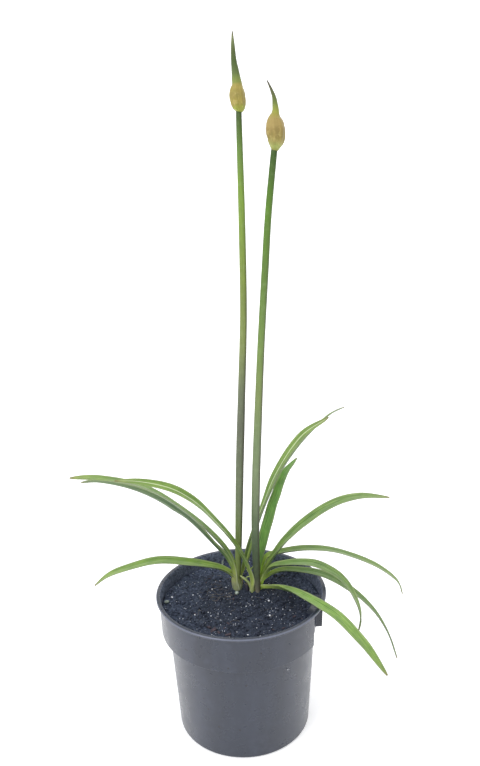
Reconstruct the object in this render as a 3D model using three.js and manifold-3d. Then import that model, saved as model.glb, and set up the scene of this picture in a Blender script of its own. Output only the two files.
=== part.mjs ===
// African lily (agapanthus) in tight bud, growing in a round nursery pot.
// Millimetres, +Z up. The origin is the middle of the pot's underside; -Y is the front.
import * as THREE from 'three';
import { mergeVertices } from 'three/addons/utils/BufferGeometryUtils.js';
import Module from 'manifold-3d';

const wasm = await Module();
wasm.setup();

// ---------------------------------------------------------------- driving dimensions
const POT_HEIGHT = 110;
const LIP_RADIUS = 65;            // a 13 cm pot, measured over its lip
const BAND_RADIUS = 62.2;         // outside of the wide band under the lip, at its lower edge
const BAND_BOTTOM = 81.2;         // height of the step under the band
const BODY_TOP_RADIUS = 56;       // outside of the tapering body, just under the step
const FOOT_RADIUS = 51.2;         // outside of the body, just above the foot
const WALL = 1.3;                 // moulded wall thickness
const FLOOR_TOP = 3;
const RECESS_FROM = -32;          // label recess in the band: degrees about +Z, from +X
const RECESS_TO = -8;
const RECESS_RADIUS = 57;         // outside of the wall at the back of the recess
const RECESS_TOP = 106;
const DRAIN_RADIUS = 4.5;
const DRAIN_CIRCLE = 29;          // the drain holes' centres lie on this radius
const DRAIN_COUNT = 8;

const SOIL_LEVEL = 98.5;          // at the shoots; the surface rises towards the wall
const SOIL_RISE = 1.6;
const CLEAR = 0.4;                // gap kept between pieces that touch
const SOIL_CLEAR = 0.5;
const SOCKET_BOTTOM = 82;         // the crowns' sockets in the soil reach down to here
const STALK_SPARE = 0.75;         // room round a stalk's foot in the soil
const RECESS_SPARE = 2.2;         // degrees that the soil keeps off either end of the recess

const BLADE_EDGE = 0.65;          // leaf thickness at its margin
const BLADE_RIB = 1.35;           // leaf thickness over the midrib, near the foot
const BLADE_STEP = 8.5;           // length of one facet along a blade
const SECTION = [1, 0.55, 0, -0.55, -1];   // places across a blade, in half widths
const POT_SIDES = 60;
const SOIL_SIDES = 56;
const SOIL_RINGS = 14;
const HOLE_SIDES = 16;
const BUD_SIDES = 20;
const BUD_BUMPS = 7;              // packed florets that show round a bud
const SCAPE_SIDES = 12;
const SCAPE_FACETS = 24;          // facets along a flower stalk

const LEFT_SHOOT = new THREE.Vector2(-4.1, 19.5);
const RIGHT_SHOOT = new THREE.Vector2(12.7, 17.8);

// ---------------------------------------------------------------- materials
const potPlastic = new THREE.MeshStandardMaterial({ color: 0x3c4048, roughness: 0.42, metalness: 0 });
const peat = new THREE.MeshStandardMaterial({ color: 0x1f1c1d, roughness: 0.95, metalness: 0 });
const sheathGreen = new THREE.MeshStandardMaterial({ color: 0x9aa65a, roughness: 0.55, metalness: 0 });
const leafGreen = new THREE.MeshStandardMaterial({ color: 0x6f9a48, roughness: 0.45, metalness: 0 });
const stalkGreen = new THREE.MeshStandardMaterial({ color: 0x6a8a4a, roughness: 0.5, metalness: 0 });
const spatheTan = new THREE.MeshStandardMaterial({ color: 0xb79a5c, roughness: 0.7, metalness: 0 });

// ---------------------------------------------------------------- solids
function toSolid(geometry) {
  const bare = geometry.clone();
  bare.deleteAttribute('normal');
  bare.deleteAttribute('uv');
  const merged = mergeVertices(bare, 1e-4);
  const triVerts = new Uint32Array(merged.index.array);
  const vertProperties = new Float32Array(merged.attributes.position.array);
  return new wasm.Manifold(new wasm.Mesh({ numProp: 3, vertProperties, triVerts }));
}

function fromSolid(solid) {
  const { vertProperties, triVerts } = solid.getMesh();
  const geometry = new THREE.BufferGeometry();
  geometry.setAttribute('position', new THREE.BufferAttribute(new Float32Array(vertProperties), 3));
  geometry.setIndex(new THREE.BufferAttribute(new Uint32Array(triVerts), 1));
  geometry.computeVertexNormals();
  return geometry;
}

// Turn a profile of [radius, height] pairs about the upright axis.
function turned(profile, segments) {
  const points = profile.map(([radius, height]) => new THREE.Vector2(radius, height));
  return new THREE.LatheGeometry(points, segments).rotateX(Math.PI / 2);
}

// An upright round rod, used for plain holes.
function rod(radius, bottom, top, x = 0, y = 0, sides = 24) {
  const geometry = new THREE.CylinderGeometry(radius, radius, top - bottom, sides);
  return geometry.rotateX(Math.PI / 2).translate(x, y, (top + bottom) / 2);
}

// An upright slice of a ring between two radii and two directions in degrees.
function ringSlice(inner, outer, from, to, bottom, top) {
  const start = THREE.MathUtils.degToRad(from);
  const end = THREE.MathUtils.degToRad(to);
  const outline = new THREE.Shape();
  outline.absarc(0, 0, outer, start, end, false);
  outline.absarc(0, 0, inner, end, start, true);
  const options = { depth: top - bottom, bevelEnabled: false, curveSegments: 6 };
  return new THREE.ExtrudeGeometry(outline, options).translate(0, 0, bottom);
}

// Skin a row of closed rings. A thin blade's rings list the upper face and then the lower one,
// and both faces are split along the same diagonals, so that a twisted blade never crosses itself.
function loft(rings, blade = false) {
  const count = rings[0].length;
  const last = rings.length - 1;
  const positions = rings.flat().flatMap((point) => [point.x, point.y, point.z]);
  const index = [];
  for (let i = 0; i < last; i++) {
    for (let j = 0; j < count; j++) {
      const a = i * count + j;
      const b = i * count + (j + 1) % count;
      const c = b + count;
      const d = a + count;
      const lower = blade && j >= count / 2;
      index.push(...(lower ? [a, b, d, b, c, d] : [a, b, c, a, c, d]));
    }
  }
  const end = last * count;
  if (blade) {
    for (let j = 0; j + 1 < count / 2; j++) {
      const [p, q, r, s] = [j, j + 1, count - 2 - j, count - 1 - j];
      index.push(p, r, q, p, s, r);
      index.push(end + p, end + q, end + r, end + p, end + r, end + s);
    }
  } else {
    for (let j = 1; j + 1 < count; j++) {
      index.push(0, j + 1, j);
      index.push(end, end + j, end + j + 1);
    }
  }
  const geometry = new THREE.BufferGeometry();
  geometry.setAttribute('position', new THREE.Float32BufferAttribute(positions, 3));
  geometry.setIndex(index);
  geometry.computeVertexNormals();
  return geometry;
}

// Level oval rings [height, x, y, half width, half depth], skinned into an upright stem.
function ovalStem(levels, sides = 16) {
  return loft(levels.map(([z, x, y, halfX, halfY]) => Array.from({ length: sides }, (_, k) => {
    const turn = 2 * Math.PI * k / sides;
    return new THREE.Vector3(x + halfX * Math.cos(turn), y + halfY * Math.sin(turn), z);
  })));
}

// ---------------------------------------------------------------- the pot
function makePot() {
  const bandTop = POT_HEIGHT - 3.2;
  const inside = BAND_RADIUS - WALL;
  const shell = toSolid(turned([
    [0, 0], [12, 0], [13.5, 1.5], [44, 1.5], [45.5, 0], [49.4, 0], [50.7, 0.7], [FOOT_RADIUS, 2.2],
    [BODY_TOP_RADIUS, BAND_BOTTOM - 1.6], [56.4, BAND_BOTTOM - 0.6], [61.5, BAND_BOTTOM],
    [BAND_RADIUS, BAND_BOTTOM + 0.8], [BAND_RADIUS + 0.5, bandTop], [63.6, bandTop + 1],
    [LIP_RADIUS - 0.3, POT_HEIGHT - 1.9], [LIP_RADIUS, POT_HEIGHT - 1.3], [LIP_RADIUS, POT_HEIGHT - 0.6],
    [LIP_RADIUS - 0.5, POT_HEIGHT], [62.6, POT_HEIGHT], [61.8, POT_HEIGHT - 0.6],
    [inside + 0.4, bandTop], [inside, BAND_BOTTOM + 2.2], [60.2, BAND_BOTTOM + 1.4],
    [55.6, BAND_BOTTOM + 1], [54.8, BAND_BOTTOM], [FOOT_RADIUS - WALL, 5], [48.4, 3.4], [47, FLOOR_TOP],
    [0, FLOOR_TOP],
  ], POT_SIDES));
  const liner = toSolid(ringSlice(RECESS_RADIUS - WALL, BAND_RADIUS - 0.6, RECESS_FROM - 1.3,
    RECESS_TO + 1.3, BAND_BOTTOM + 0.3, RECESS_TOP + WALL));
  const recess = toSolid(ringSlice(RECESS_RADIUS, LIP_RADIUS + 5, RECESS_FROM, RECESS_TO,
    BAND_BOTTOM - 3, RECESS_TOP));
  let pot = shell.add(liner).subtract(recess);
  for (let k = 0; k < DRAIN_COUNT; k++) {
    const turn = 2 * Math.PI * (k + 0.5) / DRAIN_COUNT;
    const [x, y] = [DRAIN_CIRCLE * Math.cos(turn), DRAIN_CIRCLE * Math.sin(turn)];
    pot = pot.subtract(toSolid(rod(DRAIN_RADIUS, -1, FLOOR_TOP + 1, x, y, HOLE_SIDES)));
  }
  return fromSolid(pot);
}

// ---------------------------------------------------------------- leaves
// Each leaf arches in an upright plane. foot is where that plane starts, facing is the way the
// leaf goes (degrees from +X), and path lists [reach out from the foot, height above the table].
// clasp is its width at the crown and width its broadest, neck is the length of the leaf that is
// wrapped into the crown, tip is the share of the length where the point begins, and roll turns
// the blade about its own length, in degrees at the foot, the middle and the tip.
const leaves = {
  leaf_left_upper: {
    shoot: 'left', foot: [-4.8, 19.5], facing: 178,
    clasp: 5.3, width: 10.8, neck: 23, tip: 0.71, roll: [0, 14, -4],
    path: [[0, 103], [0, 113], [2, 124], [8, 135.5], [34, 164], [66, 186.4], [100, 194.8], [124.5, 195.9]],
  },
  leaf_left_middle: {
    shoot: 'left', foot: [-5, 21.8], facing: 167,
    clasp: 5.3, width: 11, neck: 24, tip: 0.9, roll: [0, 63, 29],
    path: [[0, 102], [0, 110], [5.5, 124], [14, 133.6], [42, 160.6], [75, 176.8], [109, 182.5], [125, 181]],
  },
  leaf_left_low: {
    shoot: 'left', foot: [-5.2, 19.2], facing: 183,
    clasp: 5.9, width: 10.8, neck: 13, tip: 0.8, roll: [0, -6, 0],
    path: [[0, 102], [1, 110], [8, 116], [19, 120], [57, 126.9], [85, 121.6], [100, 116], [110, 108.9]],
  },
  leaf_left_back: {
    shoot: 'left', foot: [-2.6, 20.6], facing: 30,
    clasp: 4.2, width: 8.5, neck: 14, tip: 0.79, roll: [-35, -8, 22],
    path: [[0, 102], [3.5, 111], [12, 137], [25.5, 165.2], [42, 193.6], [65, 215.8], [89.5, 225.2]],
  },
  leaf_left_back_tall: {
    shoot: 'left', foot: [-2.6, 22.0], facing: 45,
    clasp: 4.2, width: 7.8, neck: 14, tip: 0.9, roll: [-15, -46, -29],
    path: [[0, 102], [5, 109], [11.5, 118], [29, 152.2], [52, 180.2], [75, 196.9], [101, 208.9],
      [121, 215], [139, 216.2]],
  },
  leaf_right_crossing: {
    shoot: 'right', foot: [8.6, 13.8], facing: 194,
    clasp: 5.6, width: 9.4, neck: 12, tip: 0.4, roll: [0, -16, -60],
    path: [[0, 101], [0.5, 112], [3, 121], [12, 141.2], [31, 168.8], [46, 185.2], [62, 196.4],
      [82, 203.4], [100, 206.8]],
  },
  leaf_right_inner: {
    shoot: 'right', foot: [13, 20.0], facing: 46,
    clasp: 5.3, width: 10.1, neck: 15, tip: 0.79, roll: [0, 0, -15],
    path: [[0, 101], [3, 118], [13.5, 149], [25, 170.1], [36, 185.4], [50.5, 194.2]],
  },
  leaf_right_upper: {
    shoot: 'right', foot: [15, 18.4], facing: 5,
    clasp: 5.6, width: 12, neck: 14, tip: 0.73, roll: [-10, 6, 2],
    path: [[0, 101], [1.5, 109], [8, 121], [20, 137.6], [33, 150.7], [58, 167], [79, 172.3],
      [103.5, 170.4]],
  },
  leaf_right_back: {
    shoot: 'right', foot: [14.2, 23.5], facing: 24,
    clasp: 4.8, width: 9.7, neck: 13, tip: 0.74, roll: [0, 6, 24],
    path: [[0, 101], [3, 110], [8, 122], [15, 123.1], [40, 120.8], [68, 113], [104, 93.1], [121, 80.4],
      [137, 64.4], [142, 52]],
  },
  leaf_right_drooping: {
    shoot: 'right', foot: [16, 14.2], facing: -24,
    clasp: 4.8, width: 10, neck: 12, tip: 0.72, roll: [0, 3, -18],
    path: [[0, 101], [2, 110.5], [8, 121], [15, 125], [42, 131.5], [58, 127.4], [68, 120.4], [77, 105.8],
      [80, 95], [79, 82.8]],
  },
  leaf_right_front: {
    shoot: 'right', foot: [16.2, 17.8], facing: -12,
    clasp: 4.9, width: 8.8, neck: 13, tip: 0.39, roll: [0, 6, -20],
    path: [[0, 101], [1, 105.5], [4, 110], [13, 115.6], [22.5, 117.5], [49, 115.5], [72, 103.4],
      [88, 88.3], [99, 70.8], [107, 48.2]],
  },
  leaf_right_low: {
    shoot: 'right', foot: [16.4, 15.4], facing: -48,
    clasp: 5.9, width: 11.1, neck: 9, tip: 0.74, roll: [-24, -5, -14],
    path: [[-0.5, 101], [5, 104], [12, 107], [24, 110.7], [48, 113.2], [77, 110.8], [98, 101.8],
      [122, 86.2]],
  },
};

function leafCurve({ foot, facing, path }) {
  const turn = THREE.MathUtils.degToRad(facing);
  const points = path.map(([reach, height]) => new THREE.Vector3(
    foot[0] + reach * Math.cos(turn), foot[1] + reach * Math.sin(turn), height));
  return new THREE.CatmullRomCurve3(points, false, 'centripetal');
}

// How broad the blade is at a share of its length: it widens from the clasp, tapers slowly,
// and ends in a rounded point that begins at the leaf's tip share.
function breadth({ clasp, width, tip }, share) {
  const opening = THREE.MathUtils.lerp(clasp, width, THREE.MathUtils.smoothstep(share, 0.04, 0.4));
  const taper = Math.max(0, (share - 0.5) / 0.5);
  const point = Math.max(0, (share - tip) / (1 - tip));
  return opening * Math.max(0.12, (1 - 0.25 * taper ** 2) * Math.sqrt(1 - point ** 2));
}

function rollAt([footRoll, midRoll, tipRoll], share) {
  const half = share < 0.5;
  const from = half ? footRoll : midRoll;
  const to = half ? midRoll : tipRoll;
  return THREE.MathUtils.degToRad(THREE.MathUtils.lerp(from, to, half ? share * 2 : share * 2 - 1));
}

// One closed section of a blade: a channel with a keel, its margins lifted towards the light.
function bladeRing(leaf, curve, share) {
  const turn = THREE.MathUtils.degToRad(leaf.facing);
  const centre = curve.getPointAt(share);
  const ahead = curve.getTangentAt(share);
  const side = new THREE.Vector3(-Math.sin(turn), Math.cos(turn), 0);
  side.applyAxisAngle(ahead, rollAt(leaf.roll, share));
  const up = ahead.clone().cross(side);
  const half = breadth(leaf, share) / 2;
  const channel = half * THREE.MathUtils.lerp(0.75, 0.16, THREE.MathUtils.smoothstep(share, 0, 0.45));
  const rib = THREE.MathUtils.lerp(BLADE_RIB, BLADE_EDGE + 0.1, share);
  const at = (across, depth) => centre.clone()
    .addScaledVector(side, across * half)
    .addScaledVector(up, channel * across * across - depth);
  const thickness = (across) => THREE.MathUtils.lerp(rib, BLADE_EDGE, Math.abs(across));
  const top = SECTION.map((across) => at(across, 0));
  const under = SECTION.toReversed().map((across) => at(across, thickness(across)));
  return [...top, ...under];
}

function bladeBetween(leaf, start, end, step) {
  const curve = leafCurve(leaf);
  const length = curve.getLength();
  const stop = end ?? length;
  const facets = Math.ceil((stop - start) / step);
  const rings = [];
  for (let k = 0; k <= facets; k++) {
    rings.push(bladeRing(leaf, curve, Math.min(1, (start + (stop - start) * k / facets) / length)));
  }
  return loft(rings, true);
}

// ---------------------------------------------------------------- flower stalks
// Stations up each stalk: [x, height, radius]; a stalk stays in one upright plane.
const scapes = {
  left: {
    y: 18.7,
    stations: [[-2.9, 101, 2.2], [-2.1, 115, 2.3], [-1.1, 136, 2.6], [1.9, 205, 3.05], [4.9, 262, 2.8],
      [7.8, 320, 2.5], [8.5, 386, 2.35], [8.4, 455.8, 1.95]],
  },
  right: {
    y: 13.2,
    stations: [[13.3, 86, 2.55], [12.9, 100, 2.6], [12.3, 147, 2.95], [13.5, 187, 3.15], [16.6, 246, 2.9],
      [19.9, 300, 2.6], [23.5, 349, 2.5], [26.6, 389, 2.35], [31.3, 430.8, 2.15]],
  },
};

function stalk({ y, stations }, grow = 0) {
  const line = new THREE.CatmullRomCurve3(
    stations.map(([x, z]) => new THREE.Vector3(x, y, z)), false, 'centripetal');
  const heights = stations.map(([, z]) => z);
  const radii = stations.map(([, , radius]) => radius);
  const radiusAt = (z) => {
    const k = Math.max(1, heights.findIndex((height) => height >= z));
    const share = (z - heights[k - 1]) / (heights[k] - heights[k - 1]);
    return THREE.MathUtils.lerp(radii[k - 1], radii[k], THREE.MathUtils.clamp(share, 0, 1));
  };
  const rings = [];
  for (let k = 0; k <= SCAPE_FACETS; k++) {
    const centre = line.getPointAt(k / SCAPE_FACETS);
    const ahead = line.getTangentAt(k / SCAPE_FACETS);
    const side = new THREE.Vector3(0, 1, 0);
    const across = side.clone().cross(ahead);
    const radius = radiusAt(centre.z) + grow;
    rings.push(Array.from({ length: SCAPE_SIDES }, (_, n) => centre.clone()
      .addScaledVector(across, radius * Math.cos(2 * Math.PI * n / SCAPE_SIDES))
      .addScaledVector(side, radius * Math.sin(2 * Math.PI * n / SCAPE_SIDES))));
  }
  for (const point of rings[0]) point.z -= grow;
  return loft(rings);
}

// ---------------------------------------------------------------- flower buds
// Each bud is a papery spathe over the packed florets, drawn out into a green beak.
// Stations: [x, height, radius, bulge]; bulge is how far the florets show through.
const buds = {
  left: {
    y: 18.7,
    stations: [[8.5, 456.6, 2.2, 0], [8.7, 457.6, 3.3, 0], [8.5, 460, 4.5, 0.06], [8.0, 463.5, 5.1, 0.06],
      [7.5, 467, 5.3, 0.06], [7.5, 470.5, 4.6, 0.05], [7.7, 473.5, 3.5, 0.02], [7.4, 476.5, 3.1, 0],
      [6.8, 482, 2.5, 0], [6.0, 489, 1.85, 0], [5.7, 497, 1.35, 0], [5.6, 506, 0.4, 0]],
  },
  right: {
    y: 13.2,
    stations: [[31.6, 431.2, 2.2, 0], [31.9, 432.6, 3.1, 0], [32.4, 436, 5.1, 0.06], [32.7, 440, 5.95, 0.07],
      [32.2, 444, 6.35, 0.07], [32.0, 448.5, 5.65, 0.06], [32.1, 452.5, 3.8, 0.03], [32.7, 456, 2.3, 0],
      [32.4, 460, 1.9, 0], [31.8, 464.5, 1.4, 0], [30.2, 469, 0.95, 0], [27.4, 475, 0.4, 0]],
  },
};

function bud({ y, stations }) {
  return loft(stations.map(([x, z, radius, bulge], k) => {
    const [before, after] = [stations[Math.max(0, k - 1)], stations[Math.min(stations.length - 1, k + 1)]];
    const lean = Math.atan2(after[0] - before[0], after[1] - before[1]);
    return Array.from({ length: BUD_SIDES }, (_, n) => {
      const turn = 2 * Math.PI * n / BUD_SIDES;
      const reach = radius * (1 + bulge * Math.cos(BUD_BUMPS * turn + k * 1.9));
      const across = reach * Math.cos(turn);
      return new THREE.Vector3(x + across * Math.cos(lean), y + reach * Math.sin(turn),
        z - across * Math.sin(lean));
    });
  }));
}

// ---------------------------------------------------------------- crowns
// Where a shoot's clasping leaf bases make one fleshy neck, with a stub for every blade.
const necks = {
  left: [
    [[84, -3.6, 19.4, 3.0, 3.4], [86.5, -3.6, 19.4, 4.0, 4.4], [101, -3.6, 19.4, 4.0, 4.4],
      [107, -3.6, 19.4, 4.1, 4.5], [112, -3.4, 19.5, 4.2, 4.4], [115, -3.2, 19.6, 3.6, 3.8]],
  ],
  right: [
    [[84, 13.0, 18.8, 4.0, 3.4], [86.5, 13.0, 18.8, 5.2, 4.4], [101, 13.0, 18.8, 5.2, 4.4],
      [105, 13.2, 18.9, 4.6, 4.0], [109, 13.6, 19.1, 3.4, 3.0]],
    [[84, 8.9, 14.7, 1.6, 2.0], [86.5, 8.9, 14.7, 2.4, 3.0], [101, 8.9, 14.7, 2.4, 3.0],
      [106, 8.8, 14.6, 2.0, 2.8], [110, 8.6, 14.4, 1.2, 2.4]],
  ],
};

function makeCrown(shoot) {
  const [first, ...others] = necks[shoot].map((column) => toSolid(ovalStem(column)));
  let crown = others.reduce((whole, column) => whole.add(column), first);
  for (const leaf of Object.values(leaves)) {
    if (leaf.shoot !== shoot) continue;
    crown = crown.add(toSolid(bladeBetween(leaf, 0, leaf.neck, 3)));
  }
  return fromSolid(crown.subtract(toSolid(stalk(scapes[shoot], CLEAR))));
}

// ---------------------------------------------------------------- soil
// A small seeded generator, so that the crumbs fall in the same places every time.
function seeded(seed) {
  let state = seed;
  return () => {
    state = (state * 1664525 + 1013904223) % 4294967296;
    return state / 4294967296;
  };
}

function soilRelief() {
  const random = seeded(41);
  const lumps = Array.from({ length: 110 }, () => {
    const turn = 2 * Math.PI * random();
    const reach = 60 * Math.sqrt(random());
    const size = 4 + 6 * random();
    return { x: reach * Math.cos(turn), y: reach * Math.sin(turn), size, lift: (random() - 0.35) * 1.9 };
  });
  return (x, y) => {
    const reach = Math.hypot(x, y);
    const near = Math.min(LEFT_SHOOT.distanceTo({ x, y }), RIGHT_SHOOT.distanceTo({ x, y }));
    const calm = THREE.MathUtils.smoothstep(near, 7, 16);
    let height = SOIL_LEVEL + SOIL_RISE * THREE.MathUtils.smoothstep(reach, 15, 58);
    for (const { x: lumpX, y: lumpY, size, lift } of lumps) {
      const away = Math.hypot(x - lumpX, y - lumpY) / size;
      if (away < 1) height += calm * lift * (0.5 + 0.5 * Math.cos(Math.PI * away));
    }
    return height;
  };
}

function makeSoil() {
  const edge = BAND_RADIUS - WALL - SOIL_CLEAR;
  const topRings = Array.from({ length: SOIL_RINGS }, (_, k) => (
    [edge * (SOIL_RINGS - 1 - k) / (SOIL_RINGS - 1), SOIL_LEVEL]));
  const body = turned([
    [0, FLOOR_TOP + CLEAR], [46.8, FLOOR_TOP + CLEAR], [FOOT_RADIUS - WALL - SOIL_CLEAR, 6],
    [54.2, BAND_BOTTOM], [55, BAND_BOTTOM + 1.6], [60, BAND_BOTTOM + 2], [edge, BAND_BOTTOM + 3],
    ...topRings,
  ], SOIL_SIDES);
  const relief = soilRelief();
  const place = body.attributes.position;
  for (let k = 0; k < place.count; k++) {
    if (Math.abs(place.getZ(k) - SOIL_LEVEL) < 1e-3) place.setZ(k, relief(place.getX(k), place.getY(k)));
  }
  let soil = toSolid(body);
  soil = soil.subtract(toSolid(ringSlice(RECESS_RADIUS - WALL - SOIL_CLEAR, LIP_RADIUS,
    RECESS_FROM - RECESS_SPARE, RECESS_TO + RECESS_SPARE, BAND_BOTTOM - 1, POT_HEIGHT)));
  for (const column of Object.values(necks).flat()) {
    const [, x, y, halfX, halfY] = column[1];
    const socket = [SOCKET_BOTTOM, POT_HEIGHT].map((z) => [z, x, y, halfX + CLEAR, halfY + CLEAR]);
    soil = soil.subtract(toSolid(ovalStem(socket)));
  }
  const [[x, bottom, radius], [nextX]] = scapes.right.stations;
  soil = soil.subtract(toSolid(rod(radius + STALK_SPARE, bottom - CLEAR, POT_HEIGHT,
    (x + nextX) / 2, scapes.right.y)));
  return fromSolid(soil);
}

// ---------------------------------------------------------------- assembly
const plant = new THREE.Group();

function addPart(name, geometry, material) {
  const mesh = new THREE.Mesh(geometry, material);
  mesh.name = name;
  plant.add(mesh);
}

addPart('pot', makePot(), potPlastic);
addPart('soil', makeSoil(), peat);
addPart('crown_left', makeCrown('left'), sheathGreen);
addPart('crown_right', makeCrown('right'), sheathGreen);
for (const [name, leaf] of Object.entries(leaves)) {
  addPart(name, bladeBetween(leaf, leaf.neck + CLEAR, undefined, BLADE_STEP), leafGreen);
}
addPart('scape_left', stalk(scapes.left), stalkGreen);
addPart('scape_right', stalk(scapes.right), stalkGreen);
addPart('bud_left', bud(buds.left), spatheTan);
addPart('bud_right', bud(buds.right), spatheTan);

export default plant;
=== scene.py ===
# %% [markdown]
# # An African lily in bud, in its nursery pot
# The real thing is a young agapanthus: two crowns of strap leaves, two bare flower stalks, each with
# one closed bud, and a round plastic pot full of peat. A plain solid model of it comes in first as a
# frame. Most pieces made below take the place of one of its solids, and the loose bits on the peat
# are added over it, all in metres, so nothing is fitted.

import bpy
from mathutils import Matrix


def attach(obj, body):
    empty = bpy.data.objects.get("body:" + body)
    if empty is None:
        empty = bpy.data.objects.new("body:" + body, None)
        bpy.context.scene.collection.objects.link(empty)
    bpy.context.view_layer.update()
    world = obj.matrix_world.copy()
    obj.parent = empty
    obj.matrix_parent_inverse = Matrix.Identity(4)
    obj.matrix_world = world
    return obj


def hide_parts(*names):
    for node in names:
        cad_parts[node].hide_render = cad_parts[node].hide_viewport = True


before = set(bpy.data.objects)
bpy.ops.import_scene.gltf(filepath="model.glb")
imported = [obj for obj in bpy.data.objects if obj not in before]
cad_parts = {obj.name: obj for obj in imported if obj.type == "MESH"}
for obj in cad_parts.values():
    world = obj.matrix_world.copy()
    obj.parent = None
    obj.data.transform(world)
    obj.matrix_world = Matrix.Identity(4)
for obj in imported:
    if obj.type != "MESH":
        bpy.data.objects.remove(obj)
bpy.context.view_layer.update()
print("solids:", sorted(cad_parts))

# %% [markdown]
# ## Small tools
# Real sizes are easier to read in millimetres, so one constant turns them into metres. Colours are
# picked as the eye sees them, in sRGB, and one function makes them linear, which is what light adds
# up in. Each material is a handful of nodes, and one function places any of them.

# %% Units and colours
from math import atan2, ceil, cos, hypot, pi, radians, sin, sqrt
from random import Random

import bmesh
import bpy
from mathutils import Matrix, Vector, noise

MM = 0.001


def linear(hex_colour):
    """An sRGB colour such as "#7fa554", as the linear red, green, blue and alpha of a socket."""
    channels = []
    for start in (1, 3, 5):
        share = int(hex_colour[start:start + 2], 16) / 255
        channels.append(share / 12.92 if share <= 0.04045 else ((share + 0.055) / 1.055) ** 2.4)
    return (*channels, 1.0)


print("mid leaf green, linear:", [round(value, 3) for value in linear("#7fa554")])

# %% One function for every node
# Sockets go by name, or by number where names repeat: a Map Range takes its 0 from between 1 and 2 to
# between 3 and 4, a colour Mix goes from 6 to 7 by the share in 0, and a Math node works on 0, 1, 2.
def add(tree, kind, feeds=None, stops=None, **settings):
    """Add a node. feeds gives its sockets a value or another node's output, stops fill its ramp."""
    node = tree.nodes.new(kind)
    for name, value in settings.items():
        setattr(node, name, value)
    for socket, value in (feeds or {}).items():
        if isinstance(value, bpy.types.NodeSocket):
            tree.links.new(value, node.inputs[socket])
        else:
            node.inputs[socket].default_value = value
    if stops:
        ramp = node.color_ramp
        ramp.elements.remove(ramp.elements[-1])
        ramp.elements[0].position, ramp.elements[0].color = stops[0][0], linear(stops[0][1])
        for place, hex_colour in stops[1:]:
            ramp.elements.new(place).color = linear(hex_colour)
    return node


def new_material(name, roughness, ior, **sockets):
    """A bare Principled material: its tree, and its shader with the constant sockets set."""
    material = bpy.data.materials.new(name)
    material.use_nodes = True
    tree = material.node_tree
    tree.nodes.clear()
    feeds = {"Roughness": roughness, "IOR": ior}
    feeds.update({socket.replace("_", " "): value for socket, value in sockets.items()})
    shader = add(tree, "ShaderNodeBsdfPrincipled", feeds)
    add(tree, "ShaderNodeOutputMaterial", {"Surface": shader.outputs[0]})
    return material, tree, shader


# %% Turning a bmesh into a piece of the object
def make_piece(name, form, material, stands_for=(), sharp=38):
    """Close off a modelled form: shade it, give it its finish, and tell the frame what it is."""
    for face in form.faces:
        face.smooth = True
    for edge in form.edges:
        edge.smooth = len(edge.link_faces) == 2 and edge.calc_face_angle(0) < radians(sharp)
    mesh = bpy.data.meshes.new(name)
    form.to_mesh(mesh)
    form.free()
    mesh.materials.append(material)
    piece = bpy.data.objects.new(name, mesh)
    bpy.context.scene.collection.objects.link(piece)
    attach(piece, "root")
    if stands_for:
        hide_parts(*stands_for)
    size = [round(value / MM, 1) for value in piece.dimensions]
    print(f"{name}: {len(mesh.polygons)} faces, {size} mm")
    return piece


# %% Curves that pass through their points
def blend(start, end, share):
    return start + (end - start) * share


def ease(value, low, high):
    """0 below low, 1 above high, and a soft S between."""
    share = min(1.0, max(0.0, (value - low) / (high - low)))
    return share * share * (3 - 2 * share)


class Course:
    """A smooth way through points, walked evenly: at(share) gives the place and the direction."""

    def __init__(self, points, steps=40):
        points = [Vector(point) for point in points]
        ends = [2 * points[0] - points[1], *points, 2 * points[-1] - points[-2]]
        self.places = []
        for before, start, end, after in zip(ends, ends[1:], ends[2:], ends[3:]):
            gaps = [(b - a).length ** 0.5 for a, b in ((before, start), (start, end), (end, after))]
            away = (start - before) / gaps[0] - (end - before) / (gaps[0] + gaps[1])
            away = (away + (end - start) / gaps[1]) * gaps[1]
            home = (end - start) / gaps[1] - (after - start) / (gaps[1] + gaps[2])
            home = (home + (after - end) / gaps[2]) * gaps[1]
            bow = 3 * (end - start) - 2 * away - home
            twist = 2 * (start - end) + away + home
            for step in range(steps):
                share = step / steps
                self.places.append(start + away * share + bow * share ** 2 + twist * share ** 3)
        self.places.append(points[-1])
        self.marks = [0.0]
        for here, there in zip(self.places, self.places[1:]):
            self.marks.append(self.marks[-1] + (there - here).length)
        self.length = self.marks[-1]

    def at(self, share):
        walked = min(1.0, max(0.0, share)) * self.length
        low, high = 0, len(self.marks) - 1
        while high - low > 1:
            middle = (low + high) // 2
            low, high = (middle, high) if self.marks[middle] <= walked else (low, middle)
        part = (walked - self.marks[low]) / (self.marks[high] - self.marks[low])
        place = self.places[low].lerp(self.places[high], part)
        ahead = self.places[min(high + 1, len(self.places) - 1)] - self.places[max(low - 1, 0)]
        return place, ahead.normalized()


print("test course, mm:", round(Course([(0, 0, 0), (0, 0, 50), (30, 0, 80)]).length, 1))

# %% [markdown]
# ## Camera
# The plant is seen from half a metre away and from just below the height of the buds, looking
# slightly down, so the pot's lip opens into an oval. A camera can be placed by eye, but pitch, roll
# and place were worked out from the pot's round lip and foot, so they are set here as numbers.

# %% Camera
IMAGE_HEIGHT = 766
FOCAL_PIXELS = 735.2
SENSOR = 36.0
PITCH, ROLL = radians(15.378), radians(1.69)
EYE = Vector((0.00388, -0.50239, 0.41225))

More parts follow.
